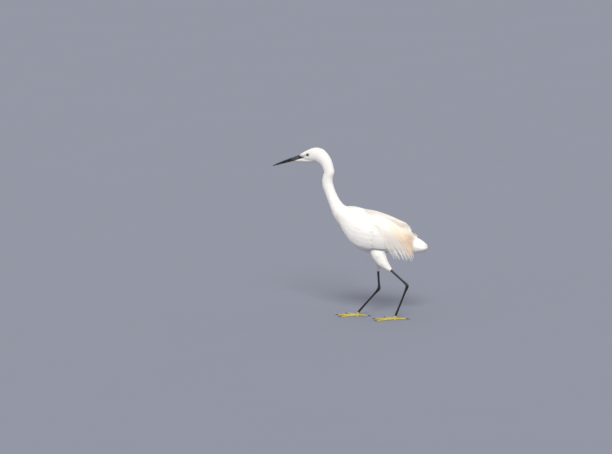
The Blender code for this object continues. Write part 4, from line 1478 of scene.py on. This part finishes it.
# The feet: toes as degrees outward from straight ahead, length and claw
footMiddles = {"left": (107.0, 20.0), "right": (-24.5, 20.0)}
toes = {
    "inner": (-29.0, 45.0, 9.0),
    "middle": (1.0, 60.0, 9.5),
    "outer": (30.0, 50.0, 8.5),
    "hind": (186.0, 33.0, 11.0),
}
toeLook = {"wide": (2.9, 1.8), "high": (5.2, 3.5), "joints": 4, "knuckle": 0.09, "roundFrom": 0.93}
toePlates = {"every": 1.9, "deep": 0.12}
clawLook = {"base": 1.35, "tip": 0.22, "arch": 0.96, "sunk": 2.5, "high": 1.9, "drop": 1.5, "narrow": 0.85}
# The ball of the foot: lean towards the leg, z and radius
padRows = [
    (0.0, 0.2, 6.0),
    (0.0, 2.6, 6.4),
    (0.15, 5.0, 5.4),
    (0.5, 7.6, 4.2),
    (1.0, 10.6, 3.5),
]


def toePoint(word, side, degrees, along, aside, high):
    middle = footMiddles[word]
    turn = math.radians(degrees)
    ahead = (-math.cos(turn), side * math.sin(turn))
    x = middle[0] + ahead[0] * along - ahead[1] * aside
    y = side * middle[1] + ahead[1] * along + ahead[0] * aside
    return np.stack(np.broadcast_arrays(x, y, high), -1) * mm + shiftBy


def makeToe(word, side, degrees, length):
    look = toeLook
    rings = []
    turns = roundTurns(20, tau)
    up = np.sin(turns)
    for part in np.linspace(0.0, 1.0, 90):
        wide, high = (between(*look[size], part) for size in ("wide", "high"))
        knuckle = 1.0 + look["knuckle"] * math.cos(tau * look["joints"] * part)
        plate = toePlates["deep"] * abs(math.sin(math.pi * length * part / toePlates["every"])) ** 0.5
        pastRound = max(part - look["roundFrom"], 0.0) / (1.0 - look["roundFrom"])
        girth = knuckle * math.sqrt(max(1.0 - pastRound**2, 0.1))
        rise = (0.46 + 0.5 * up * girth).clip(0.02) * high + plate * np.maximum(up, 0.0)
        rings.append(toePoint(word, side, degrees, length * part, np.cos(turns) * wide * girth, rise))
    return loftPiece("toe", rings, yellowSkin)


def makeClaw(word, side, toe, degrees, length, claw):
    look = clawLook
    rings = []
    turns = roundTurns(16, tau)
    for part in np.linspace(0.0, 1.0, 26):
        round = between(look["base"], look["tip"], part**0.9)
        along = length - look["sunk"] + (claw + look["sunk"]) * part
        middle = look["high"] + look["arch"] * math.sin(math.pi * part) - look["drop"] * part**2
        aside = np.cos(turns) * round * look["narrow"]
        rings.append(toePoint(word, side, degrees, along, aside, middle + np.sin(turns) * round))
    piece = loftPiece(f"clawHorn_{word}_{toe}", rings, darkClaw)
    finishPiece(piece, [f"claw_{word}_{toe}"])


def makeFeet():
    turns = roundTurns(32, tau)
    for word, side in sides:
        middle = footMiddles[word]
        lean = lowerLegRows[word][-1][0] - middle[0]
        rings = []
        for shift, high, half in padRows:
            x = middle[0] + lean * shift + half * np.cos(turns)
            rings.append(np.stack(asArrays(x, side * middle[1] + half * np.sin(turns), high), -1))
        foot = loftPiece("footSkin_" + word, np.asarray(rings) * mm + shiftBy, yellowSkin)
        joinInto(foot, [makeToe(word, side, degrees, length) for degrees, length, claw in toes.values()])
        smooth(foot, 50.0)
        finishPiece(foot, ["foot_" + word])
        for toe, (degrees, length, claw) in toes.items():
            makeClaw(word, side, toe, degrees, length, claw)


makeFeet()
print("feet made")

# Floor, light and camera
floorLook = {"colour": (0.222, 0.238, 0.299), "flat": (0.6, 2.0, 6.0, 14.0, 17.0), "curve": 5.0}
skyLook = {"colour": (1.0, 1.0, 1.0), "strength": 0.74}
sunLook = {
    "right": 4.0,
    "elevation": 38.0,
    "strength": 2.45,
    "softness": 18.0,
    "colour": (1.0, 0.975, 0.94),
}


def makeFloor():
    # flat under the bird and rising far behind it, so no horizon shows from low down
    made, tree, shader = newFinish("paleFloor", 0.9)
    pale = floorLook["colour"]
    low = tuple(0.97 * value for value in pale)
    feed(shader.inputs["Base Color"], mixColours(positionNoise(tree, 3.0, 4.0), low, pale))
    count, curve = 96, floorLook["curve"]
    rings = [(reach, 0.0) for reach in floorLook["flat"]]
    flat = rings[-1][0]
    for degrees in range(8, 81, 8):
        bend = math.radians(degrees)
        rings.append((flat + curve * math.sin(bend), curve * (1 - math.cos(bend))))
    points = [(0.0, 0.0, 0.0)]
    for reach, high in rings:
        turns = roundTurns(count, tau)
        points += [(reach * math.cos(turn), reach * math.sin(turn), high) for turn in turns]
    faces = [(0, 1 + i, 1 + (i + 1) % count) for i in range(count)]
    faces += [face[::-1] for face in gridFaces(len(rings), count, 1)]
    floor = newPiece("floor", points, faces, made)
    floor.data.shade_smooth()


# The camera looks from behind the bird's left side and a little above, rolled as the photograph is.
# One pixel of its 612 by 454 frame is 2.7 mm at the bird; pixel (360, 283) shows a point over the origin.
cameraLook = {
    "azimuth": 27.0,
    "elevation": 10.0,
    "roll": 4.5,
    "mmPerPixel": 2.7,
    "away": 15.0,
    "pixelWide": 612,
    "pixelHigh": 454,
    "seenPixel": (360.0, 283.0),
    "seenHeight": 0.095,
}


def towards(azimuth, elevation):
    turn, rise = math.radians(azimuth), math.radians(elevation)
    return Vector((math.sin(turn) * math.cos(rise), -math.cos(turn) * math.cos(rise), math.sin(rise)))


def makeLights():
    data = bpy.data.lights.new("softSun", "SUN")
    data.energy = sunLook["strength"]
    data.angle = math.radians(sunLook["softness"])
    data.color = sunLook["colour"]
    lamp = bpy.data.objects.new("softSun", data)
    bpy.context.scene.collection.objects.link(lamp)
    aim = towards(cameraLook["azimuth"] + sunLook["right"], sunLook["elevation"])
    lamp.rotation_euler = aim.to_track_quat("Z", "Y").to_euler()
    world = bpy.data.worlds.new("softSky")
    bpy.context.scene.world = world
    world.use_nodes = True
    sky = world.node_tree.nodes["Background"]
    feed(sky.inputs["Color"], skyLook["colour"])
    feed(sky.inputs["Strength"], skyLook["strength"])
    bpy.context.scene.view_settings.view_transform = "Standard"


def makeCamera():
    look = cameraLook
    backward = towards(look["azimuth"], look["elevation"])
    turn, roll = math.radians(look["azimuth"]), math.radians(look["roll"])
    rightward = Vector((math.cos(turn), math.sin(turn), 0.0))
    upward = backward.cross(rightward)
    imageRight = rightward * math.cos(roll) - upward * math.sin(roll)
    imageUp = rightward * math.sin(roll) + upward * math.cos(roll)
    pixel = look["mmPerPixel"] * mm
    seen = Vector((alongShift, 0.0, look["seenHeight"]))
    aside = (look["pixelWide"] / 2 - look["seenPixel"][0]) * pixel
    above = (look["seenPixel"][1] - look["pixelHigh"] / 2) * pixel
    place = seen + imageRight * aside + imageUp * above + backward * look["away"]
    data = bpy.data.cameras.new("camera")
    data.sensor_width = 36.0
    data.lens = data.sensor_width * look["away"] / (look["pixelWide"] * pixel)
    data.clip_end = 200.0
    camera = bpy.data.objects.new("camera", data)
    bpy.context.scene.collection.objects.link(camera)
    matrix = camera.matrix_world.copy()
    for row in range(3):
        matrix[row] = (imageRight[row], imageUp[row], backward[row], place[row])
    camera.matrix_world = matrix
    bpy.context.scene.camera = camera


makeFloor()
makeLights()
makeCamera()
print("floor, lights and camera made")
